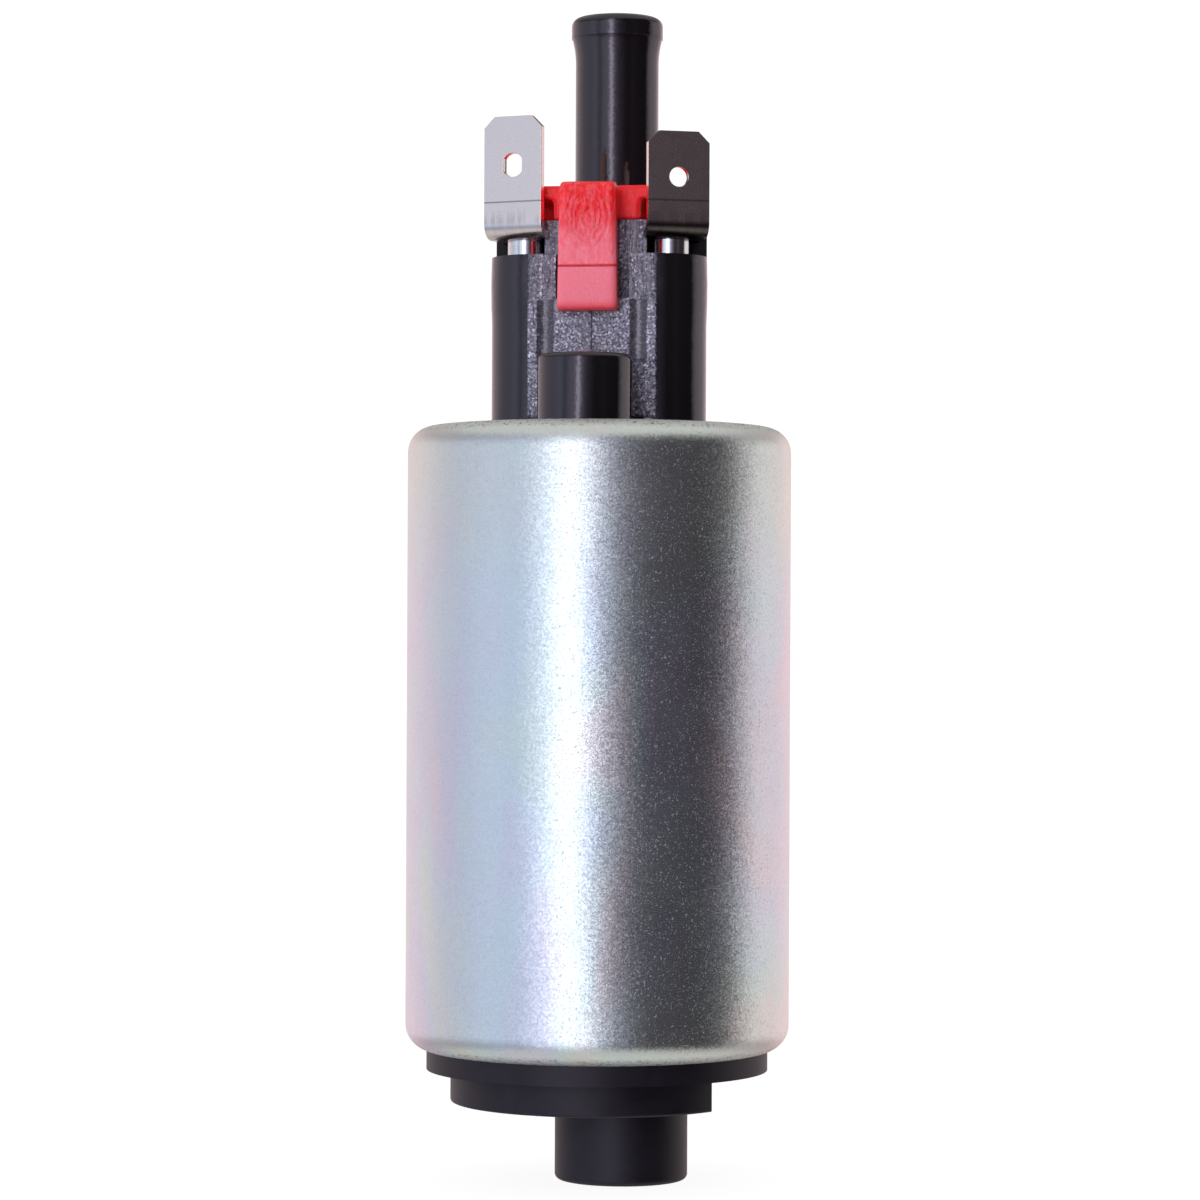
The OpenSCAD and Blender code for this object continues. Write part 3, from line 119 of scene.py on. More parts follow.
class Tree:
    """A node tree with short ways to add and join nodes."""

    def __init__(self, tree):
        self.tree = tree
        tree.nodes.clear()

    def add(self, kind, **settings):
        node = self.tree.nodes.new(kind)
        for name, value in settings.items():
            setattr(node, name, value)
        return node

    def feed(self, socket, value):
        if isinstance(value, bpy.types.NodeSocket):
            self.tree.links.new(value, socket)
        elif value is not None:
            socket.default_value = value

    def math(self, operation, first, second=0.0, third=None, clamp=False):
        node = self.add("ShaderNodeMath", operation=operation, use_clamp=clamp)
        for socket, value in zip(node.inputs, (first, second, third)):
            self.feed(socket, value)
        return node.outputs[0]

    def times(self, value, *factors):
        for factor in factors:
            value = self.math("MULTIPLY", value, factor)
        return value

    def plus(self, value, *terms):
        for term in terms:
            value = self.math("ADD", value, term)
        return value

    def off(self, value, place):
        """How far a value is from a place, to either side."""
        return self.math("ABSOLUTE", self.math("SUBTRACT", value, place))

    def between(self, value, start, full):
        """0 before start and 1 past full, whichever of the two is the larger."""
        node = self.add("ShaderNodeMapRange", interpolation_type="SMOOTHSTEP")
        self.feed(node.inputs["Value"], value)
        node.inputs["From Min"].default_value = min(start, full)
        node.inputs["From Max"].default_value = max(start, full)
        node.inputs["To Min"].default_value = 0.0 if start < full else 1.0
        node.inputs["To Max"].default_value = 1.0 if start < full else 0.0
        return node.outputs[0]

    def scaled(self, value, low, high):
        """A texture value from 0 to 1 brought to the range from low to high."""
        return self.math("MULTIPLY_ADD", value, high - low, low)

    def mix(self, share, first, second, blend="MIX"):
        node = self.add("ShaderNodeMix", data_type="RGBA", blend_type=blend)
        self.feed(node.inputs["Factor"], share)
        self.feed(node.inputs["A"], first)
        self.feed(node.inputs["B"], second)
        return node.outputs["Result"]

    def ramp(self, share, stops, smooth=False):
        node = self.add("ShaderNodeValToRGB")
        ramp = node.color_ramp
        ramp.interpolation = "EASE" if smooth else "LINEAR"
        while len(ramp.elements) < len(stops):
            ramp.elements.new(0.5)
        for element, (place, colour) in zip(ramp.elements, stops):
            element.position = place
            element.color = (*colour, 1)
        self.feed(node.inputs["Fac"], share)
        return node.outputs["Color"]

    def grey(self, value):
        node = self.add("ShaderNodeCombineColor")
        for socket in node.inputs:
            self.feed(socket, value)
        return node.outputs[0]

    def place(self):
        return self.add("ShaderNodeTexCoord").outputs["Object"]

    def axes(self, vector=None):
        node = self.add("ShaderNodeSeparateXYZ")
        self.feed(node.inputs[0], self.place() if vector is None else vector)
        return node.outputs

    def stretched(self, scale):
        node = self.add("ShaderNodeMapping")
        self.feed(node.inputs["Vector"], self.place())
        node.inputs["Scale"].default_value = scale
        return node.outputs[0]

    def noise(self, size_mm, detail=2.0, roughness=0.5, vector=None, warp=0.0):
        node = self.add("ShaderNodeTexNoise")
        self.feed(node.inputs["Vector"], self.place() if vector is None else vector)
        node.inputs["Scale"].default_value = 1 / (size_mm * MM)
        node.inputs["Detail"].default_value = detail
        node.inputs["Roughness"].default_value = roughness
        node.inputs["Distortion"].default_value = warp
        return node.outputs["Fac"]

    def vector(self, operation, first, second=None, scale=None):
        node = self.add("ShaderNodeVectorMath", operation=operation)
        self.feed(node.inputs[0], first)
        self.feed(node.inputs[1], second)
        if scale is not None:
            self.feed(node.inputs["Scale"], scale)
        return node.outputs[0]

    def blend(self, share, first, second):
        """A direction from the first to the second one, by a share from 0 to 1."""
        whole = self.vector("SCALE", self.vector("SUBTRACT", second, first), scale=share)
        return self.vector("NORMALIZE", self.vector("ADD", first, whole))

    def facets(self, size_mm, tilt, normal):
        """The normal turned a little by chance in each small cell, and the cells' chance colour."""
        cells = self.add("ShaderNodeTexVoronoi", feature="F1")
        self.feed(cells.inputs["Vector"], self.place())
        cells.inputs["Scale"].default_value = 1 / (size_mm * MM)
        chance = cells.outputs["Color"]
        centred = self.vector("SUBTRACT", chance, (0.5, 0.5, 0.5))
        turned = self.vector("SCALE", centred, scale=2 * tilt)
        return self.vector("NORMALIZE", self.vector("ADD", turned, normal)), chance

    def bump(self, height, depth_mm, normal=None):
        node = self.add("ShaderNodeBump")
        node.inputs["Strength"].default_value = 1.0
        node.inputs["Distance"].default_value = depth_mm * MM
        self.feed(node.inputs["Height"], height)
        self.feed(node.inputs["Normal"], normal)
        return node.outputs[0]


# Brightness round the object, by the angle from the camera's own side in degrees.
# The key light stands left of the camera and a dark gap lies right of it.
ENVIRONMENT = [
    (-180, (0.95, 0.78, 0.76)),
    (-160, (1.02, 0.82, 0.82)),
    (-140, (0.90, 0.77, 0.81)),
    (-120, (0.80, 0.73, 0.77)),
    (-104, (0.64, 0.61, 0.69)),
    (-88, (0.59, 0.62, 0.75)),
    (-76, (0.63, 0.67, 0.83)),
    (-66, (0.77, 0.82, 0.97)),
    (-58, (0.70, 0.80, 0.94)),
    (-50, (0.38, 0.48, 0.62)),
    (-44, (0.55, 0.66, 0.84)),
    (-38, (0.85, 0.92, 1.08)),
    (-30, (0.90, 0.97, 1.12)),
    (-23, (1.35, 1.40, 1.62)),
    (-18, (3.40, 3.52, 3.95)),
    (-14.5, (3.40, 3.52, 3.95)),
    (-9, (1.10, 1.15, 1.36)),
    (-5, (0.70, 0.72, 0.92)),
    (0, (0.36, 0.37, 0.50)),
    (8, (0.20, 0.17, 0.24)),
    (16, (0.10, 0.08, 0.10)),
    (24, (0.030, 0.026, 0.034)),
    (36, (0.035, 0.030, 0.038)),
    (44, (0.065, 0.056, 0.070)),
    (58, (0.032, 0.028, 0.036)),
    (86, (0.022, 0.020, 0.025)),
    (92, (0.42, 0.38, 0.40)),
    (98, (0.78, 0.74, 0.77)),
    (106, (0.90, 0.88, 0.87)),
    (132, (0.82, 0.73, 0.76)),
    (150, (1.08, 0.84, 0.85)),
    (180, (0.95, 0.78, 0.76)),
]
# A ramp holds no colour above 1, so all are divided by this and the light is raised by it
BRIGHTEST = 4.2
OVERHEAD = (0.68, 0.68, 0.66)
UNDERNEATH = (0.62, 0.62, 0.60)
# Soft light is stronger than what the gloss mirrors, as in a white tent
SOFT_GAIN = 1.75
BACKDROP = 1.05
# How steeply a direction has to rise, from 0 for level to 1 for upright, for each zone
DIMMER_AT = (0.2, 0.42)
DIMMED_TO = 0.5
OVERHEAD_AT = (0.5, 0.75)
UNDERNEATH_AT = (-0.5, -0.75)


def dimmed(colour):
    """A colour as a ramp can hold it."""
    return tuple(channel / BRIGHTEST for channel in colour)


def make_world():
    """A studio that the part mirrors, and a plain white backdrop for the camera itself."""
    world = bpy.data.worlds.new("studio")
    scene.world = world
    world.use_nodes = True
    tree = Tree(world.node_tree)
    direction = tree.add("ShaderNodeTexCoord").outputs["Generated"]
    x, y, z = tree.axes(direction)
    angle = tree.math("ARCTAN2", x, tree.times(y, -1.0))
    # the share of a full turn, counted from behind the object
    share = tree.math("MULTIPLY_ADD", angle, 1 / math.tau, 0.5 - VIEW_AZIMUTH / math.tau)
    share = tree.math("FRACT", tree.plus(share, 1.0))
    stops = [(angle_deg / 360 + 0.5, dimmed(colour)) for angle_deg, colour in ENVIRONMENT]
    around = tree.ramp(share, stops)
    dusk = tree.scaled(tree.between(tree.math("ABSOLUTE", z), *DIMMER_AT), 1.0, DIMMED_TO)
    colour = tree.mix(1.0, around, tree.grey(dusk), blend="MULTIPLY")
    colour = tree.mix(tree.between(z, *OVERHEAD_AT), colour, (*dimmed(OVERHEAD), 1))
    colour = tree.mix(tree.between(z, *UNDERNEATH_AT), colour, (*dimmed(UNDERNEATH), 1))
    studio = tree.add("ShaderNodeBackground")
    tree.feed(studio.inputs["Color"], colour)
    path = tree.add("ShaderNodeLightPath").outputs
    strength = tree.scaled(path["Is Diffuse Ray"], BRIGHTEST, BRIGHTEST * SOFT_GAIN)
    tree.feed(studio.inputs["Strength"], strength)
    plain = tree.add("ShaderNodeBackground")
    plain.inputs["Color"].default_value = (1, 1, 1, 1)
    plain.inputs["Strength"].default_value = BACKDROP
    chosen = tree.add("ShaderNodeMixShader")
    tree.feed(chosen.inputs[0], path["Is Camera Ray"])
    tree.feed(chosen.inputs[1], studio.outputs[0])
    tree.feed(chosen.inputs[2], plain.outputs[0])
    out = tree.add("ShaderNodeOutputWorld")
    tree.feed(out.inputs["Surface"], chosen.outputs[0])


FLOOR_HALF = 2.0
FLOOR_GLOW = 0.93
FLOOR_TONES = (0.11, 0.13)


def make_floor():
    """A pale floor that glows a little, so that it meets the backdrop without an edge."""
    mesh = bpy.data.meshes.new("floor")
    signs = ((-1, -1), (1, -1), (1, 1), (-1, 1))
    mesh.from_pydata([(FLOOR_HALF * x, FLOOR_HALF * y, 0) for x, y in signs], [], [(0, 1, 2, 3)])
    floor = bpy.data.objects.new("floor", mesh)
    scene.collection.objects.link(floor)
    material = bpy.data.materials.new("pale_floor")
    material.use_nodes = True
    tree = Tree(material.node_tree)
    shader = tree.add("ShaderNodeBsdfPrincipled")
    tone = tree.scaled(tree.noise(size_mm=400), *FLOOR_TONES)
    tree.feed(shader.inputs["Base Color"], tree.grey(tone))
    shader.inputs["Roughness"].default_value = 0.9
    shader.inputs["Specular IOR Level"].default_value = 0.0
    shader.inputs["Emission Color"].default_value = (1, 1, 1, 1)
    shader.inputs["Emission Strength"].default_value = FLOOR_GLOW
    out = tree.add("ShaderNodeOutputMaterial")
    tree.feed(out.inputs["Surface"], shader.outputs[0])
    mesh.materials.append(material)
    floor.visible_glossy = False
    floor.visible_diffuse = False


# Places on the part, taken from the frame, that the materials and the pieces refer to.
# The blades' feet lie on the posts' shoulders, which stand above the towers.
POST_SHOULDER_HEIGHT = 1.7 * MM
CAN_LOW, CAN_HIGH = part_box("steel_can")
BLADE_FOOT_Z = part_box("terminal_blade_left")[0].z
TOWER_TOP_Z = BLADE_FOOT_Z - POST_SHOULDER_HEIGHT
CLIP_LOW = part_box("terminal_clip")[0]

# The can's rolled lips, and the height over which it turns greenish
LOWER_LIP_Z = (CAN_LOW.z + 0.95 * MM, CAN_LOW.z + 0.35 * MM)
UPPER_LIP_Z = (CAN_HIGH.z - 0.95 * MM, CAN_HIGH.z - 0.35 * MM)
GREENISH_Z = (CAN_HIGH.z - 20 * MM, CAN_HIGH.z - 6 * MM)


def zinc(tree):
    """Zinc plate: sparkling grain, soft clouds and a faint play of pale colours."""
    greenish = (0.80, 0.84, 0.79, 1)
    worn = (0.46, 0.43, 0.39, 1)
    pitted = (0.14, 0.13, 0.11, 1)
    z = tree.axes()[2]
    hues = tree.noise(size_mm=13, detail=2, vector=tree.stretched((1, 1, 0.45)), warp=0.5)
    colour = tree.ramp(hues, [
        (0.30, (0.87, 0.79, 0.83)),
        (0.42, (0.80, 0.80, 0.88)),
        (0.50, (0.77, 0.84, 0.88)),
        (0.58, (0.79, 0.86, 0.83)),
        (0.68, (0.86, 0.83, 0.80)),
    ], smooth=True)
    uneven = tree.scaled(tree.noise(size_mm=14, detail=3), -8 * MM, 8 * MM)
    upper = tree.between(tree.plus(z, uneven), *GREENISH_Z)
    colour = tree.mix(tree.times(upper, 0.75), colour, greenish)
    waves = tree.noise(size_mm=15, detail=1, roughness=0.4)
    drawn = tree.noise(size_mm=0.3, detail=2, roughness=0.6, vector=tree.stretched((1, 1, 0.05)))
    grain = tree.noise(size_mm=0.16, detail=2, roughness=0.7)
    normal = tree.bump(waves, depth_mm=0.24)
    normal = tree.bump(drawn, depth_mm=0.005, normal=normal)
    normal = tree.bump(grain, depth_mm=0.006, normal=normal)
    # each crystal mirrors a little more or less, and a little to one side
    normal, chance = tree.facets(size_mm=0.15, tilt=0.05, normal=normal)
    glitter = tree.grey(tree.scaled(tree.axes(chance)[0], 0.95, 1.04))
    colour = tree.mix(1.0, colour, glitter, blend="MULTIPLY")
    # the rolled lips are worn and pitted, and the rest has a few faint pits
    ragged = tree.scaled(tree.noise(size_mm=0.7, detail=4, roughness=0.7), -0.35 * MM, 0.35 * MM)
    edge = tree.plus(z, ragged)
    lips = tree.math(
        "MAXIMUM", tree.between(edge, *UPPER_LIP_Z), tree.between(edge, *LOWER_LIP_Z)
    )
    colour = tree.mix(tree.times(lips, 0.12), colour, worn)
    small_pits = tree.between(tree.noise(size_mm=0.34, detail=3, roughness=0.75), 0.60, 0.72)
    wide_pits = tree.between(tree.noise(size_mm=0.45, detail=3, roughness=0.75), 0.54, 0.64)
    pits = tree.math("MAXIMUM", tree.times(small_pits, 0.25), tree.times(wide_pits, lips))
    colour = tree.mix(tree.times(pits, 0.7), colour, pitted)
    specks = tree.between(tree.noise(size_mm=0.2, detail=2, roughness=0.7), 0.58, 0.68)
    clouds = tree.noise(size_mm=6, detail=3, roughness=0.6, warp=0.5)
    roughness = tree.plus(
        tree.scaled(clouds, 0.31, 0.39), tree.times(specks, 0.3), tree.times(lips, 0.25)
    )
    return {"colour": colour, "roughness": roughness, "normal": normal}


# The spark-eroded front of the towers without the relief tower before it, the pad on it
# with its flutes and seam, and the draw marks above the pad
ERODED_Y = (-2.9 * MM, -3.3 * MM)
ERODED_X = (6.65 * MM, 6.35 * MM)
ERODED_Z = (TOWER_TOP_Z - 16.6 * MM, TOWER_TOP_Z - 16.1 * MM)
OFF_RELIEF_Y = (-6.6 * MM, -6.3 * MM)
PAD_FOOT_Z = (TOWER_TOP_Z - 11.0 * MM, TOWER_TOP_Z - 10.8 * MM)
PAD_TOP_Z = (TOWER_TOP_Z - 4.5 * MM, TOWER_TOP_Z - 4.7 * MM)
DRAWN_Z = (TOWER_TOP_Z - 4.7 * MM, TOWER_TOP_Z - 4.3 * MM)
FLUTE_X = 4.7 * MM
FLUTE_HALF = (0.95 * MM, 0.75 * MM)
SEAM_HALF = (0.10 * MM, 0.03 * MM)
# The faces behind the terminal posts are dull
DULL_FRONT_Y = (0.3 * MM, 0.5 * MM)
DULL_BACK_Y = (1.95 * MM, 1.90 * MM)
DULL_Z = (TOWER_TOP_Z - 0.05 * MM, TOWER_TOP_Z + 0.01 * MM)


def black_moulding(tree):
    """Black plastic: smooth, with a spark-eroded front face on the towers and the mast, whose
    glints are painted as grey specks.
    """
    in_seam = (0.003, 0.003, 0.003, 1)
    x, y, z = tree.axes()
    wide = tree.math("ABSOLUTE", x)
    eroded = tree.times(
        tree.between(y, *ERODED_Y),
        tree.between(wide, *ERODED_X),
        tree.between(z, *ERODED_Z),
        tree.between(y, *OFF_RELIEF_Y),
    )
    # two polished flutes down the pad, a seam down its middle and draw marks above it
    on_pad = tree.times(tree.between(z, *PAD_TOP_Z), tree.between(z, *PAD_FOOT_Z))
    flute = tree.times(tree.between(tree.off(wide, FLUTE_X), *FLUTE_HALF), on_pad)
    seam = tree.times(tree.between(wide, *SEAM_HALF), on_pad, eroded)
    streaks = tree.noise(size_mm=0.5, detail=3, roughness=0.6, vector=tree.stretched((1, 1, 0.06)))
    drawn = tree.times(tree.between(streaks, 0.42, 0.52), tree.between(z, *DRAWN_Z), 0.75)
    polished = tree.math("MAXIMUM", flute, drawn)
    rough_share = tree.times(eroded, tree.scaled(polished, 1.0, 0.15))

    coarse = tree.noise(size_mm=0.7, detail=3, roughness=0.65)
    fine = tree.noise(size_mm=3.0)
    height = tree.plus(tree.times(coarse, rough_share), tree.times(seam, -0.6))
    normal = tree.bump(height, depth_mm=0.12, normal=tree.bump(fine, depth_mm=0.02))
    satin = tree.facets(size_mm=0.16, tilt=0.02, normal=normal)[0]
    crystals, chance = tree.facets(size_mm=0.17, tilt=0.22, normal=normal)

    roughness = tree.plus(tree.scaled(fine, 0.05, 0.10), tree.times(rough_share, 0.22))
    behind_posts = tree.times(
        tree.between(y, *DULL_FRONT_Y), tree.between(y, *DULL_BACK_Y), tree.between(z, *DULL_Z)
    )
    roughness = tree.math("MAXIMUM", roughness, tree.times(behind_posts, 0.9))

    plain = tree.ramp(tree.noise(size_mm=0.3, detail=1), [
        (0.0, (0.010, 0.009, 0.010)),
        (1.0, (0.015, 0.013, 0.015)),
    ])
    # the eroded face's grey and bright specks are painted glints, the light that its tiny facets
    # catch
    painted_glints = tree.ramp(tree.axes(chance)[1], [
        (0.0, (0.050, 0.045, 0.058)),
        (0.5, (0.19, 0.178, 0.225)),
        (0.85, (0.38, 0.36, 0.44)),
        (1.0, (0.75, 0.72, 0.82)),
    ])
    colour = tree.mix(rough_share, plain, painted_glints)
    colour = tree.mix(tree.times(seam, 0.8), colour, in_seam)
    return {
        "colour": colour,
        "roughness": roughness,
        "normal": tree.blend(rough_share, satin, crystals),
    }


def satin_moulding(tree):
    """Black plastic of the inlet end: satin, with faint flow clouds."""
    clouds = tree.noise(size_mm=5, detail=3, roughness=0.6, warp=0.6)
    grain = tree.noise(size_mm=0.2, detail=2, roughness=0.6)
    return {
        "colour": tree.ramp(clouds, [(0.3, (0.005, 0.004, 0.007)), (0.75, (0.013, 0.011, 0.017))]),
        "roughness": tree.scaled(clouds, 0.46, 0.56),
        "normal": tree.bump(grain, depth_mm=0.006),
    }


# The clip's tongue, from the foot up. Height counts for less than width in the arches
# round a point above its middle, which makes them tall.
TONGUE_Y = (CLIP_LOW.y + 0.74 * MM, CLIP_LOW.y + 0.44 * MM)
# where the painted sheen fades towards the rounded foot
SHEEN_FOOT_Z = (CLIP_LOW.z + 0.2 * MM, CLIP_LOW.z + 1.2 * MM)
PARTING_Z = CLIP_LOW.z + 4.4 * MM
PARTING_HALF = (0.10 * MM, 0.03 * MM)
BELOW_PARTING_Z = (PARTING_Z + 0.1 * MM, PARTING_Z - 0.1 * MM)
ABOVE_PARTING_Z = (PARTING_Z + 0.1 * MM, PARTING_Z + 0.3 * MM)
# where the painted sheen of the key light pales the tongue's front
PAINTED_SHEEN_Z = (PARTING_Z + 6.5 * MM, PARTING_Z + 1.5 * MM)
ARCH_X = -0.15 * MM
ARCH_Z = CLIP_LOW.z + 9.2 * MM
ARCH_HEIGHT_WEIGHT = 0.62
ARCH_PITCH = 0.52 * MM
ARCH_WANDER = 0.9 * MM
ARCH_REACH = (2.7 * MM, 1.6 * MM)
DIMPLE_REACH = (0.75 * MM, 0.4 * MM)


def red_moulding(tree):
    """Red plastic with arched flow marks, a parting line, a finer grain below it and a painted
    sheen of the key light.
    """
    # the two pinks are a painted sheen of the key light
    rippled_sheen_pink = (0.97, 0.19, 0.24, 1)
    grained_sheen_pink = (0.97, 0.20, 0.26, 1)
    in_parting = (0.35, 0.01, 0.015, 1)
    x, y, z = tree.axes()
    face = tree.between(y, *TONGUE_Y)
    upper = tree.times(tree.between(z, *ABOVE_PARTING_Z), face)
    lower = tree.times(tree.between(z, *BELOW_PARTING_Z), face)
    grain = tree.noise(size_mm=0.26, detail=3, roughness=0.7)
    flow = tree.noise(size_mm=1.1, warp=0.8)
    rippled = tree.stretched((1, 1, 0.4))
    ripples = tree.noise(size_mm=0.4, detail=3, roughness=0.6, vector=rippled, warp=0.5)
    # the flow marks' arches, with a dimple where they close
    across = tree.math("SUBTRACT", x, ARCH_X)
    along = tree.times(tree.math("SUBTRACT", z, ARCH_Z), ARCH_HEIGHT_WEIGHT)
    reach = tree.math("SQRT", tree.plus(tree.times(across, across), tree.times(along, along)))
    bent = tree.math("MULTIPLY_ADD", flow, ARCH_WANDER, reach)
    rings = tree.math("SINE", tree.times(bent, math.tau / ARCH_PITCH))
    arches = tree.times(rings, tree.between(reach, *ARCH_REACH), face)
    dimple = tree.times(tree.between(reach, *DIMPLE_REACH), face)
    line = tree.times(tree.between(tree.off(z, PARTING_Z), *PARTING_HALF), face)
    height = tree.plus(
        tree.times(arches, 0.30),
        tree.times(flow, 0.5),
        tree.times(ripples, upper, 0.35),
        tree.times(line, -0.8),
        tree.times(dimple, -0.5),
    )
    normal = tree.bump(grain, depth_mm=0.06, normal=tree.bump(height, depth_mm=0.12))
    colour = tree.ramp(flow, [(0.3, (0.88, 0.005, 0.009)), (0.7, (0.97, 0.009, 0.014))])
    # painted sheen of the key light: paler from the top down, in ripples at first and in an even
    # grain below the parting line
    down = tree.scaled(tree.between(z, *PAINTED_SHEEN_Z), 0.15, 0.9)
    uneven = tree.scaled(tree.between(ripples, 0.38, 0.62), -0.22, 0.16)
    pale = tree.math("MULTIPLY", tree.plus(down, uneven), upper, clamp=True)
    colour = tree.mix(pale, colour, rippled_sheen_pink)
    even = tree.math("MULTIPLY", tree.scaled(grain, 0.55, 1.25), lower, clamp=True)
    # the painted sheen fades where the tongue's foot rounds away from the light
    even = tree.times(even, tree.scaled(tree.between(z, *SHEEN_FOOT_Z), 0.4, 1.0))
    colour = tree.mix(even, colour, grained_sheen_pink)
    colour = tree.mix(tree.times(line, 0.6), colour, in_parting)
    roughness = tree.plus(tree.scaled(grain, 0.16, 0.28), tree.times(lower, 0.12))
    return {"colour": colour, "roughness": roughness, "normal": normal}


# The blades' scribed line, their bend, the low part of the bend where shade and a reflection are
# painted, and the right and the left half of the part
SCRIBE_Z = BLADE_FOOT_Z + 3.7 * MM
SCRIBE_HALF = (0.12 * MM, 0.04 * MM)
BEND_Z = (BLADE_FOOT_Z + 3.3 * MM, BLADE_FOOT_Z + 1.5 * MM)
LOW_BEND_Z = (BLADE_FOOT_Z + 1.8 * MM, BLADE_FOOT_Z + 1.2 * MM)
RIGHT_X = (0.0, 1 * MM)
LEFT_X = (0.0, -1 * MM)


def tin_sheet(tree):
    """Tinned sheet: rolling lines, scuffs, fine scratches, a scribed line above each bend, and
    painted shade and a painted reflection on the bends.
    """
    bright = (0.98, 0.835, 0.77, 1)
    stained = (0.64, 0.53, 0.48, 1)
    warm = (0.48, 0.40, 0.34, 1)
    scribed = (0.22, 0.20, 0.19, 1)
    # the next two are painted shade and a painted reflection of the floor, for the bends
    painted_bend_shade = (0.05, 0.04, 0.04, 1)
    pale = (0.88, 0.80, 0.83, 1)
    x, _, z = tree.axes()
    rolling = tree.noise(size_mm=0.25, detail=3, roughness=0.6, vector=tree.stretched((1, 1, 0.06)))
    across = tree.stretched((0.12, 0.12, 1))
    scratches = tree.noise(size_mm=0.3, detail=2, roughness=0.6, vector=across)
    scuffs = tree.noise(size_mm=1.2, detail=3, roughness=0.6, warp=0.8)
    streaks = tree.noise(size_mm=0.45, detail=3, vector=tree.stretched((1, 1, 0.1)))
    wobble = tree.scaled(rolling, -0.06 * MM, 0.06 * MM)
    scribe = tree.between(tree.off(tree.plus(z, wobble), SCRIBE_Z), *SCRIBE_HALF)
    colour = tree.mix(tree.times(tree.between(scuffs, 0.56, 0.72), 0.12), bright, stained)
    bend = tree.times(tree.between(z, *BEND_Z), tree.between(streaks, 0.42, 0.6))
    colour = tree.mix(tree.times(bend, 0.45), colour, warm)
    colour = tree.mix(tree.times(scribe, 0.7), colour, scribed)
    # painted shade darkens the right blade's bend, and a painted reflection of the floor makes the
    # left one's paler
    low_bend = tree.between(z, *LOW_BEND_Z)
    shaded_right_bend = tree.times(low_bend, tree.between(x, *RIGHT_X))
    reflecting_left_bend = tree.times(low_bend, tree.between(x, *LEFT_X))
    colour = tree.mix(tree.times(shaded_right_bend, 0.9), colour, painted_bend_shade)
    colour = tree.mix(tree.times(reflecting_left_bend, 0.7), colour, pale)
    height = tree.plus(
        tree.times(rolling, 0.3),
        tree.times(scuffs, 0.15),
        tree.times(scratches, 0.3),
        tree.times(scribe, -1.5),
    )
    return {
        "colour": colour,
        "roughness": tree.scaled(scuffs, 0.24, 0.30),
        "normal": tree.bump(height, depth_mm=0.002),
    }


def turned_tin(tree):
    """Turned and tinned post: bright, with fine rings."""
    rings = tree.noise(size_mm=0.12, vector=tree.stretched((0.05, 0.05, 1)))
    return {
        "colour": tree.ramp(rings, [(0.2, (0.74, 0.73, 0.72)), (0.8, (0.84, 0.83, 0.82))]),
        "roughness": tree.scaled(rings, 0.08, 0.18),
        "normal": tree.bump(rings, depth_mm=0.002),
    }


def grained(low, high, size_mm, depth_mm, smoothest, roughest):
    """A plain machined, sintered or moulded finish between two tones."""
    def finish(tree):
        grain = tree.noise(size_mm=size_mm, detail=3, roughness=0.6)
        return {
            "colour": tree.ramp(grain, [(0.3, low), (0.7, high)]),
            "roughness": tree.scaled(grain, smoothest, roughest),
            "normal": tree.bump(grain, depth_mm),
        }
    return finish


# The plain finishes, most of them inside: two tones, size and depth of the grain in
# millimetres, and the least and the greatest roughness
METAL_FINISHES = {
    "plate_aluminium": ((0.62, 0.63, 0.64), (0.78, 0.78, 0.79), 0.5, 0.01, 0.25, 0.4),
    "sintered_steel": ((0.26, 0.26, 0.28), (0.44, 0.44, 0.46), 0.25, 0.02, 0.35, 0.55),
    "flux_steel": ((0.36, 0.37, 0.39), (0.50, 0.51, 0.53), 1.0, 0.02, 0.3, 0.45),
    "spring_steel": ((0.52, 0.52, 0.54), (0.66, 0.66, 0.68), 0.2, 0.003, 0.2, 0.3),
    "bearing_bronze": ((0.42, 0.26, 0.12), (0.58, 0.38, 0.19), 0.2, 0.01, 0.3, 0.5),
    "shaft_steel": ((0.68, 0.68, 0.70), (0.78, 0.78, 0.80), 0.15, 0.002, 0.12, 0.2),
    "core_steel": ((0.28, 0.29, 0.31), (0.40, 0.41, 0.43), 0.3, 0.01, 0.35, 0.5),
    "winding_copper": ((0.50, 0.20, 0.08), (0.70, 0.32, 0.14), 0.3, 0.05, 0.2, 0.35),
    "bar_copper": ((0.62, 0.32, 0.17), (0.78, 0.44, 0.25), 0.2, 0.005, 0.2, 0.35),
    "plug_brass": ((0.56, 0.43, 0.19), (0.70, 0.56, 0.28), 0.2, 0.004, 0.2, 0.32),
}
OTHER_FINISHES = {
    "magnet_ferrite": ((0.045, 0.045, 0.05), (0.09, 0.09, 0.10), 0.3, 0.02, 0.6, 0.8),
    "seal_rubber": ((0.012, 0.012, 0.012), (0.03, 0.03, 0.03), 0.3, 0.01, 0.5, 0.65),
    "bearing_plastic": ((0.74, 0.70, 0.58), (0.84, 0.80, 0.69), 0.6, 0.01, 0.35, 0.5),
    "base_plastic": ((0.06, 0.03, 0.02), (0.11, 0.06, 0.04), 0.4, 0.01, 0.35, 0.5),
    "brush_carbon": ((0.02, 0.02, 0.022), (0.05, 0.05, 0.055), 0.15, 0.01, 0.5, 0.7),
    "valve_plastic": ((0.66, 0.58, 0.40), (0.78, 0.70, 0.52), 0.5, 0.01, 0.3, 0.45),
}
# What the black plastics mirror has a violet tinge
VIOLET = (0.98, 0.86, 0.96, 1)


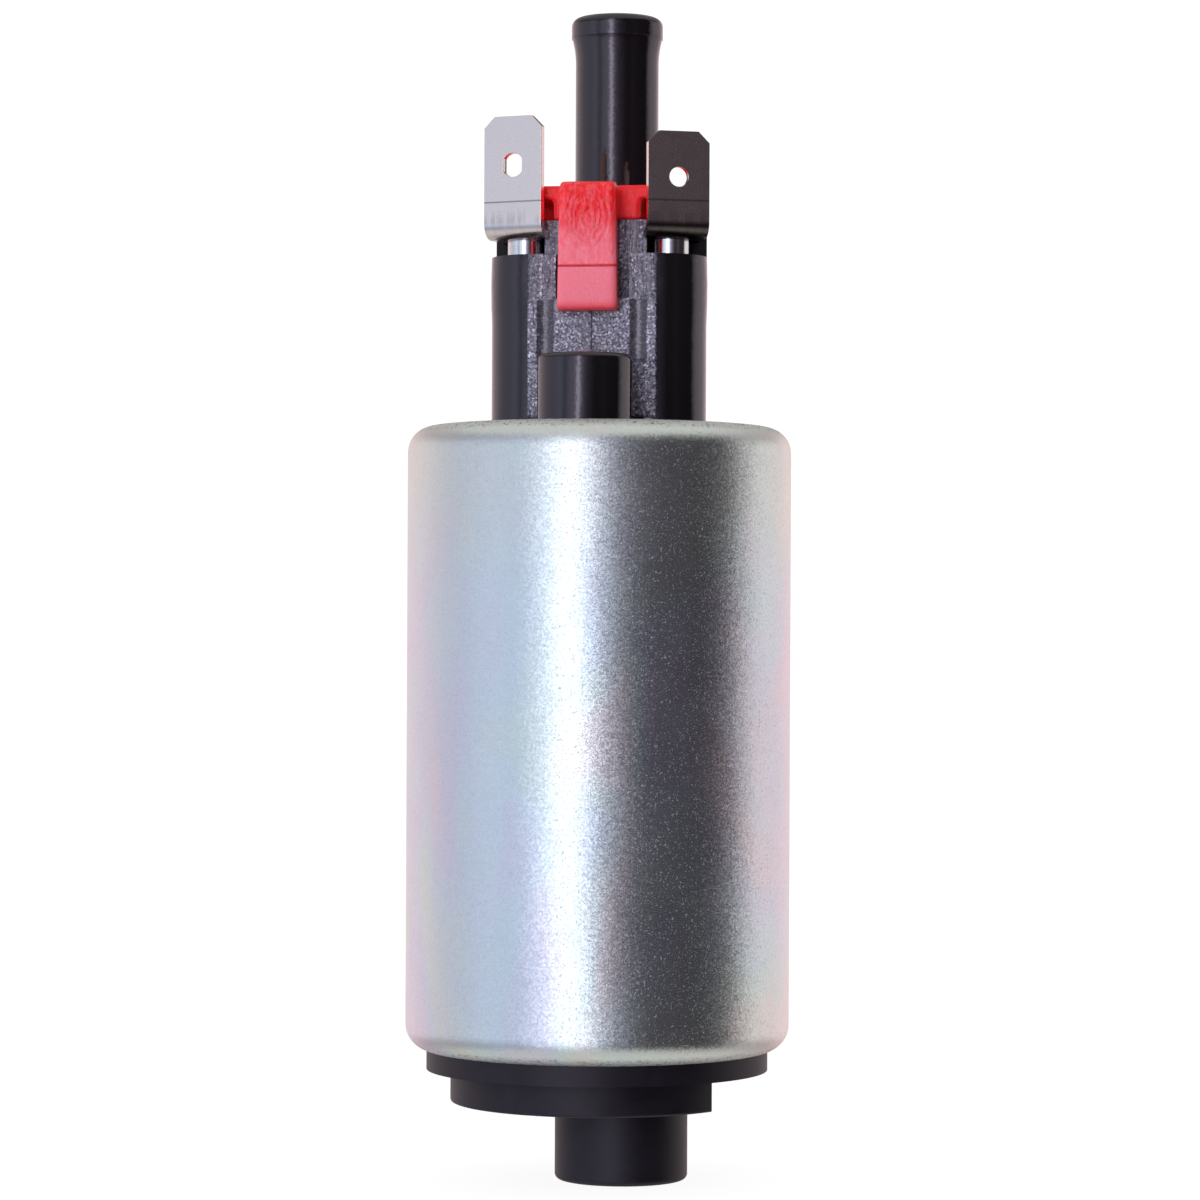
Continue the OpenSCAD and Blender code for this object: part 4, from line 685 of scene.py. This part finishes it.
def surface(name, finish, metallic=0.0, **settings):
    """A new material. finish(tree) gives its colour, roughness and normal."""
    material = bpy.data.materials.new(name)
    material.use_nodes = True
    tree = Tree(material.node_tree)
    shader = tree.add("ShaderNodeBsdfPrincipled")
    linked = finish(tree)
    tree.feed(shader.inputs["Base Color"], linked["colour"])
    tree.feed(shader.inputs["Roughness"], linked["roughness"])
    tree.feed(shader.inputs["Normal"], linked["normal"])
    shader.inputs["Metallic"].default_value = metallic
    for socket, value in settings.items():
        shader.inputs[socket.replace("_", " ")].default_value = value
    out = tree.add("ShaderNodeOutputMaterial")
    tree.feed(out.inputs["Surface"], shader.outputs[0])
    return material


def make_materials():
    """One material for each slot in the record."""
    gloss = {"IOR": 1.66, "Specular_Tint": VIOLET}
    satin = {"IOR": 1.46, "Specular_Tint": VIOLET}
    made = {
        "can_zinc": surface("zinc_plate", zinc, metallic=1.0),
        "cap_plastic": surface("black_gloss_plastic", black_moulding, **gloss),
        "cover_plastic": surface("black_satin_plastic", satin_moulding, **satin),
        "clip_plastic": surface("red_plastic", red_moulding, IOR=1.42),
        "terminal_tin": surface("tinned_sheet", tin_sheet, metallic=1.0),
        "post_tin": surface("turned_tin", turned_tin, metallic=1.0),
    }
    for metallic, finishes in ((1.0, METAL_FINISHES), (0.0, OTHER_FINISHES)):
        for slot, finish in finishes.items():
            made[slot] = surface(slot, grained(*finish), metallic=metallic)
    return made


SLOTS = {part["node"]: part["material_slot"] for part in frame["record"]["subparts"]}


def dress_nodes(materials):
    """Every CAD node takes the material of its slot in the record."""
    for node, slot in SLOTS.items():
        mesh = nodes[node].data
        mesh.materials.clear()
        mesh.materials.append(materials[slot])


WELD_DISTANCE = 0.0005 * MM
# Faces that meet at less than the flat angle become one, edges above the sharp angle are
# rounded off, and what then still turns by the crease angle is shaded as an edge.
FLAT_ANGLE = math.radians(0.6)
SHARP_ANGLE = math.radians(28)
CREASE_ANGLE = math.radians(40)
ROUNDING_SEGMENTS = 3
NORMAL_WEIGHT = 60


def copy_of(node):
    """The CAD node's own mesh, joined where its triangles share a point."""
    build = bmesh.new()
    build.from_mesh(nodes[node].data)
    bmesh.ops.remove_doubles(build, verts=build.verts, dist=WELD_DISTANCE)
    return build


def new_piece(name, build, node, materials):
    """A mesh object from a bmesh, in the place of one CAD node."""
    mesh = bpy.data.meshes.new(name)
    build.to_mesh(mesh)
    build.free()
    piece = bpy.data.objects.new(name, mesh)
    scene.collection.objects.link(piece)
    mesh.materials.append(materials[SLOTS[node]])
    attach(piece, nodes[node]["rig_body"])
    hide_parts(node)
    return piece


def rounded_piece(name, build, width_mm, node, materials):
    """A new piece whose sharp edges are rounded off."""
    sharp = [
        edge for edge in build.edges
        if len(edge.link_faces) == 2 and edge.calc_face_angle(0) > SHARP_ANGLE
    ]
    bmesh.ops.bevel(
        build,
        geom=sharp,
        offset=width_mm * MM,
        offset_type="OFFSET",
        segments=ROUNDING_SEGMENTS,
        profile=0.5,
        affect="EDGES",
        clamp_overlap=True,
        harden_normals=False,
    )
    for face in build.faces:
        face.smooth = True
    for edge in build.edges:
        edge.smooth = edge.calc_face_angle(0) < CREASE_ANGLE
    piece = new_piece(name, build, node, materials)
    even = piece.modifiers.new("even_normals", "WEIGHTED_NORMAL")
    even.keep_sharp = True
    even.weight = NORMAL_WEIGHT


# Width of the rounded edges in millimetres
SOFTENED_MM = {
    "outlet_cap": 0.18,
    "inlet_cover": 0.12,
    "terminal_blade_left": 0.08,
    "terminal_blade_right": 0.08,
    "terminal_post_left": 0.06,
    "terminal_post_right": 0.06,
    "relief_plug": 0.08,
}


def softened(node, width_mm, materials):
    """The node's own shape with its sharp edges rounded off."""
    build = copy_of(node)
    bmesh.ops.dissolve_limit(
        build,
        angle_limit=FLAT_ANGLE,
        use_dissolve_boundaries=False,
        verts=build.verts,
        edges=build.edges,
    )
    rounded_piece(node + "_finished", build, width_mm, node, materials)


def moulded(node, cell_mm, passes, materials):
    """The node's own shape with every edge rounded alike, as on a small moulding."""
    piece = new_piece(node + "_finished", copy_of(node), node, materials)
    cells = piece.modifiers.new("even_cells", "REMESH")
    cells.mode = "VOXEL"
    cells.voxel_size = cell_mm * MM
    cells.use_smooth_shade = True
    rounding = piece.modifiers.new("rounding", "SMOOTH")
    rounding.factor = 0.5
    rounding.iterations = passes


def make_pieces(materials):
    """Finished copies of the pieces that show."""
    for node, width_mm in SOFTENED_MM.items():
        softened(node, width_mm, materials)
    moulded("terminal_clip", cell_mm=0.15, passes=36, materials=materials)


def sprung(node, materials):
    """A smooth-shaded copy of a spring or a brush lead, in the place of its node."""
    build = copy_of(node)
    for face in build.faces:
        face.smooth = True
    piece = new_piece(node + "_coil", build, node, materials)
    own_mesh(piece)


def make_springs(materials):
    """One smooth-shaded copy for each node that a joint presses together."""
    for joint in frame["joints"]:
        for soft in joint.get("deforming_nodes", []):
            sprung(soft["node"], materials)


# A step behind each terminal post, with a horn at its outer end that rises beside the blade.
# Both end at the round of their tower.
TOWER_AXIS_X = 5.856 * MM
TOWER_AXIS_Y = -0.84 * MM
LEDGE_R = 5.19 * MM
LEDGE_FRONT_Y = 0.60 * MM
LEDGE_BACK_Y = 1.84 * MM
LEDGE_INNER_X = 5.25 * MM
HORN_INNER_X = 10.02 * MM
LEDGE_FOOT_Z = TOWER_TOP_Z + 0.02 * MM
LEDGE_TOP_Z = BLADE_FOOT_Z - 0.08 * MM
HORN_TOP_Z = TOWER_TOP_Z + 3.55 * MM
LEDGE_STEPS = 8
LEDGE_ROUNDING_MM = 0.05


def ledge_section(y):
    """Section across a ledge and its horn at one depth."""
    outer_x = TOWER_AXIS_X + math.sqrt(LEDGE_R ** 2 - (y - TOWER_AXIS_Y) ** 2)
    return [
        (LEDGE_INNER_X, LEDGE_FOOT_Z),
        (outer_x, LEDGE_FOOT_Z),
        (outer_x, HORN_TOP_Z),
        (HORN_INNER_X, HORN_TOP_Z),
        (HORN_INNER_X, LEDGE_TOP_Z),
        (LEDGE_INNER_X, LEDGE_TOP_Z),
    ]


def make_ledges(materials):
    """Both ledges, each run through its sections from front to back."""
    depth = LEDGE_BACK_Y - LEDGE_FRONT_Y
    for side, hand in ((-1, "left"), (1, "right")):
        build = bmesh.new()
        rings = []
        for step in range(LEDGE_STEPS + 1):
            y = LEDGE_FRONT_Y + depth * step / LEDGE_STEPS
            rings.append([build.verts.new((side * x, y, z)) for x, z in ledge_section(y)])
        build.faces.new(rings[0])
        build.faces.new(rings[-1])
        for near, far in zip(rings, rings[1:]):
            for here in range(len(near)):
                build.faces.new((near[here - 1], near[here], far[here], far[here - 1]))
        bmesh.ops.recalc_face_normals(build, faces=build.faces)
        name = "terminal_ledge_" + hand
        rounded_piece(name, build, LEDGE_ROUNDING_MM, "outlet_cap", materials)


make_camera()
make_world()
make_floor()
all_materials = make_materials()
dress_nodes(all_materials)
make_pieces(all_materials)
make_springs(all_materials)
make_ledges(all_materials)
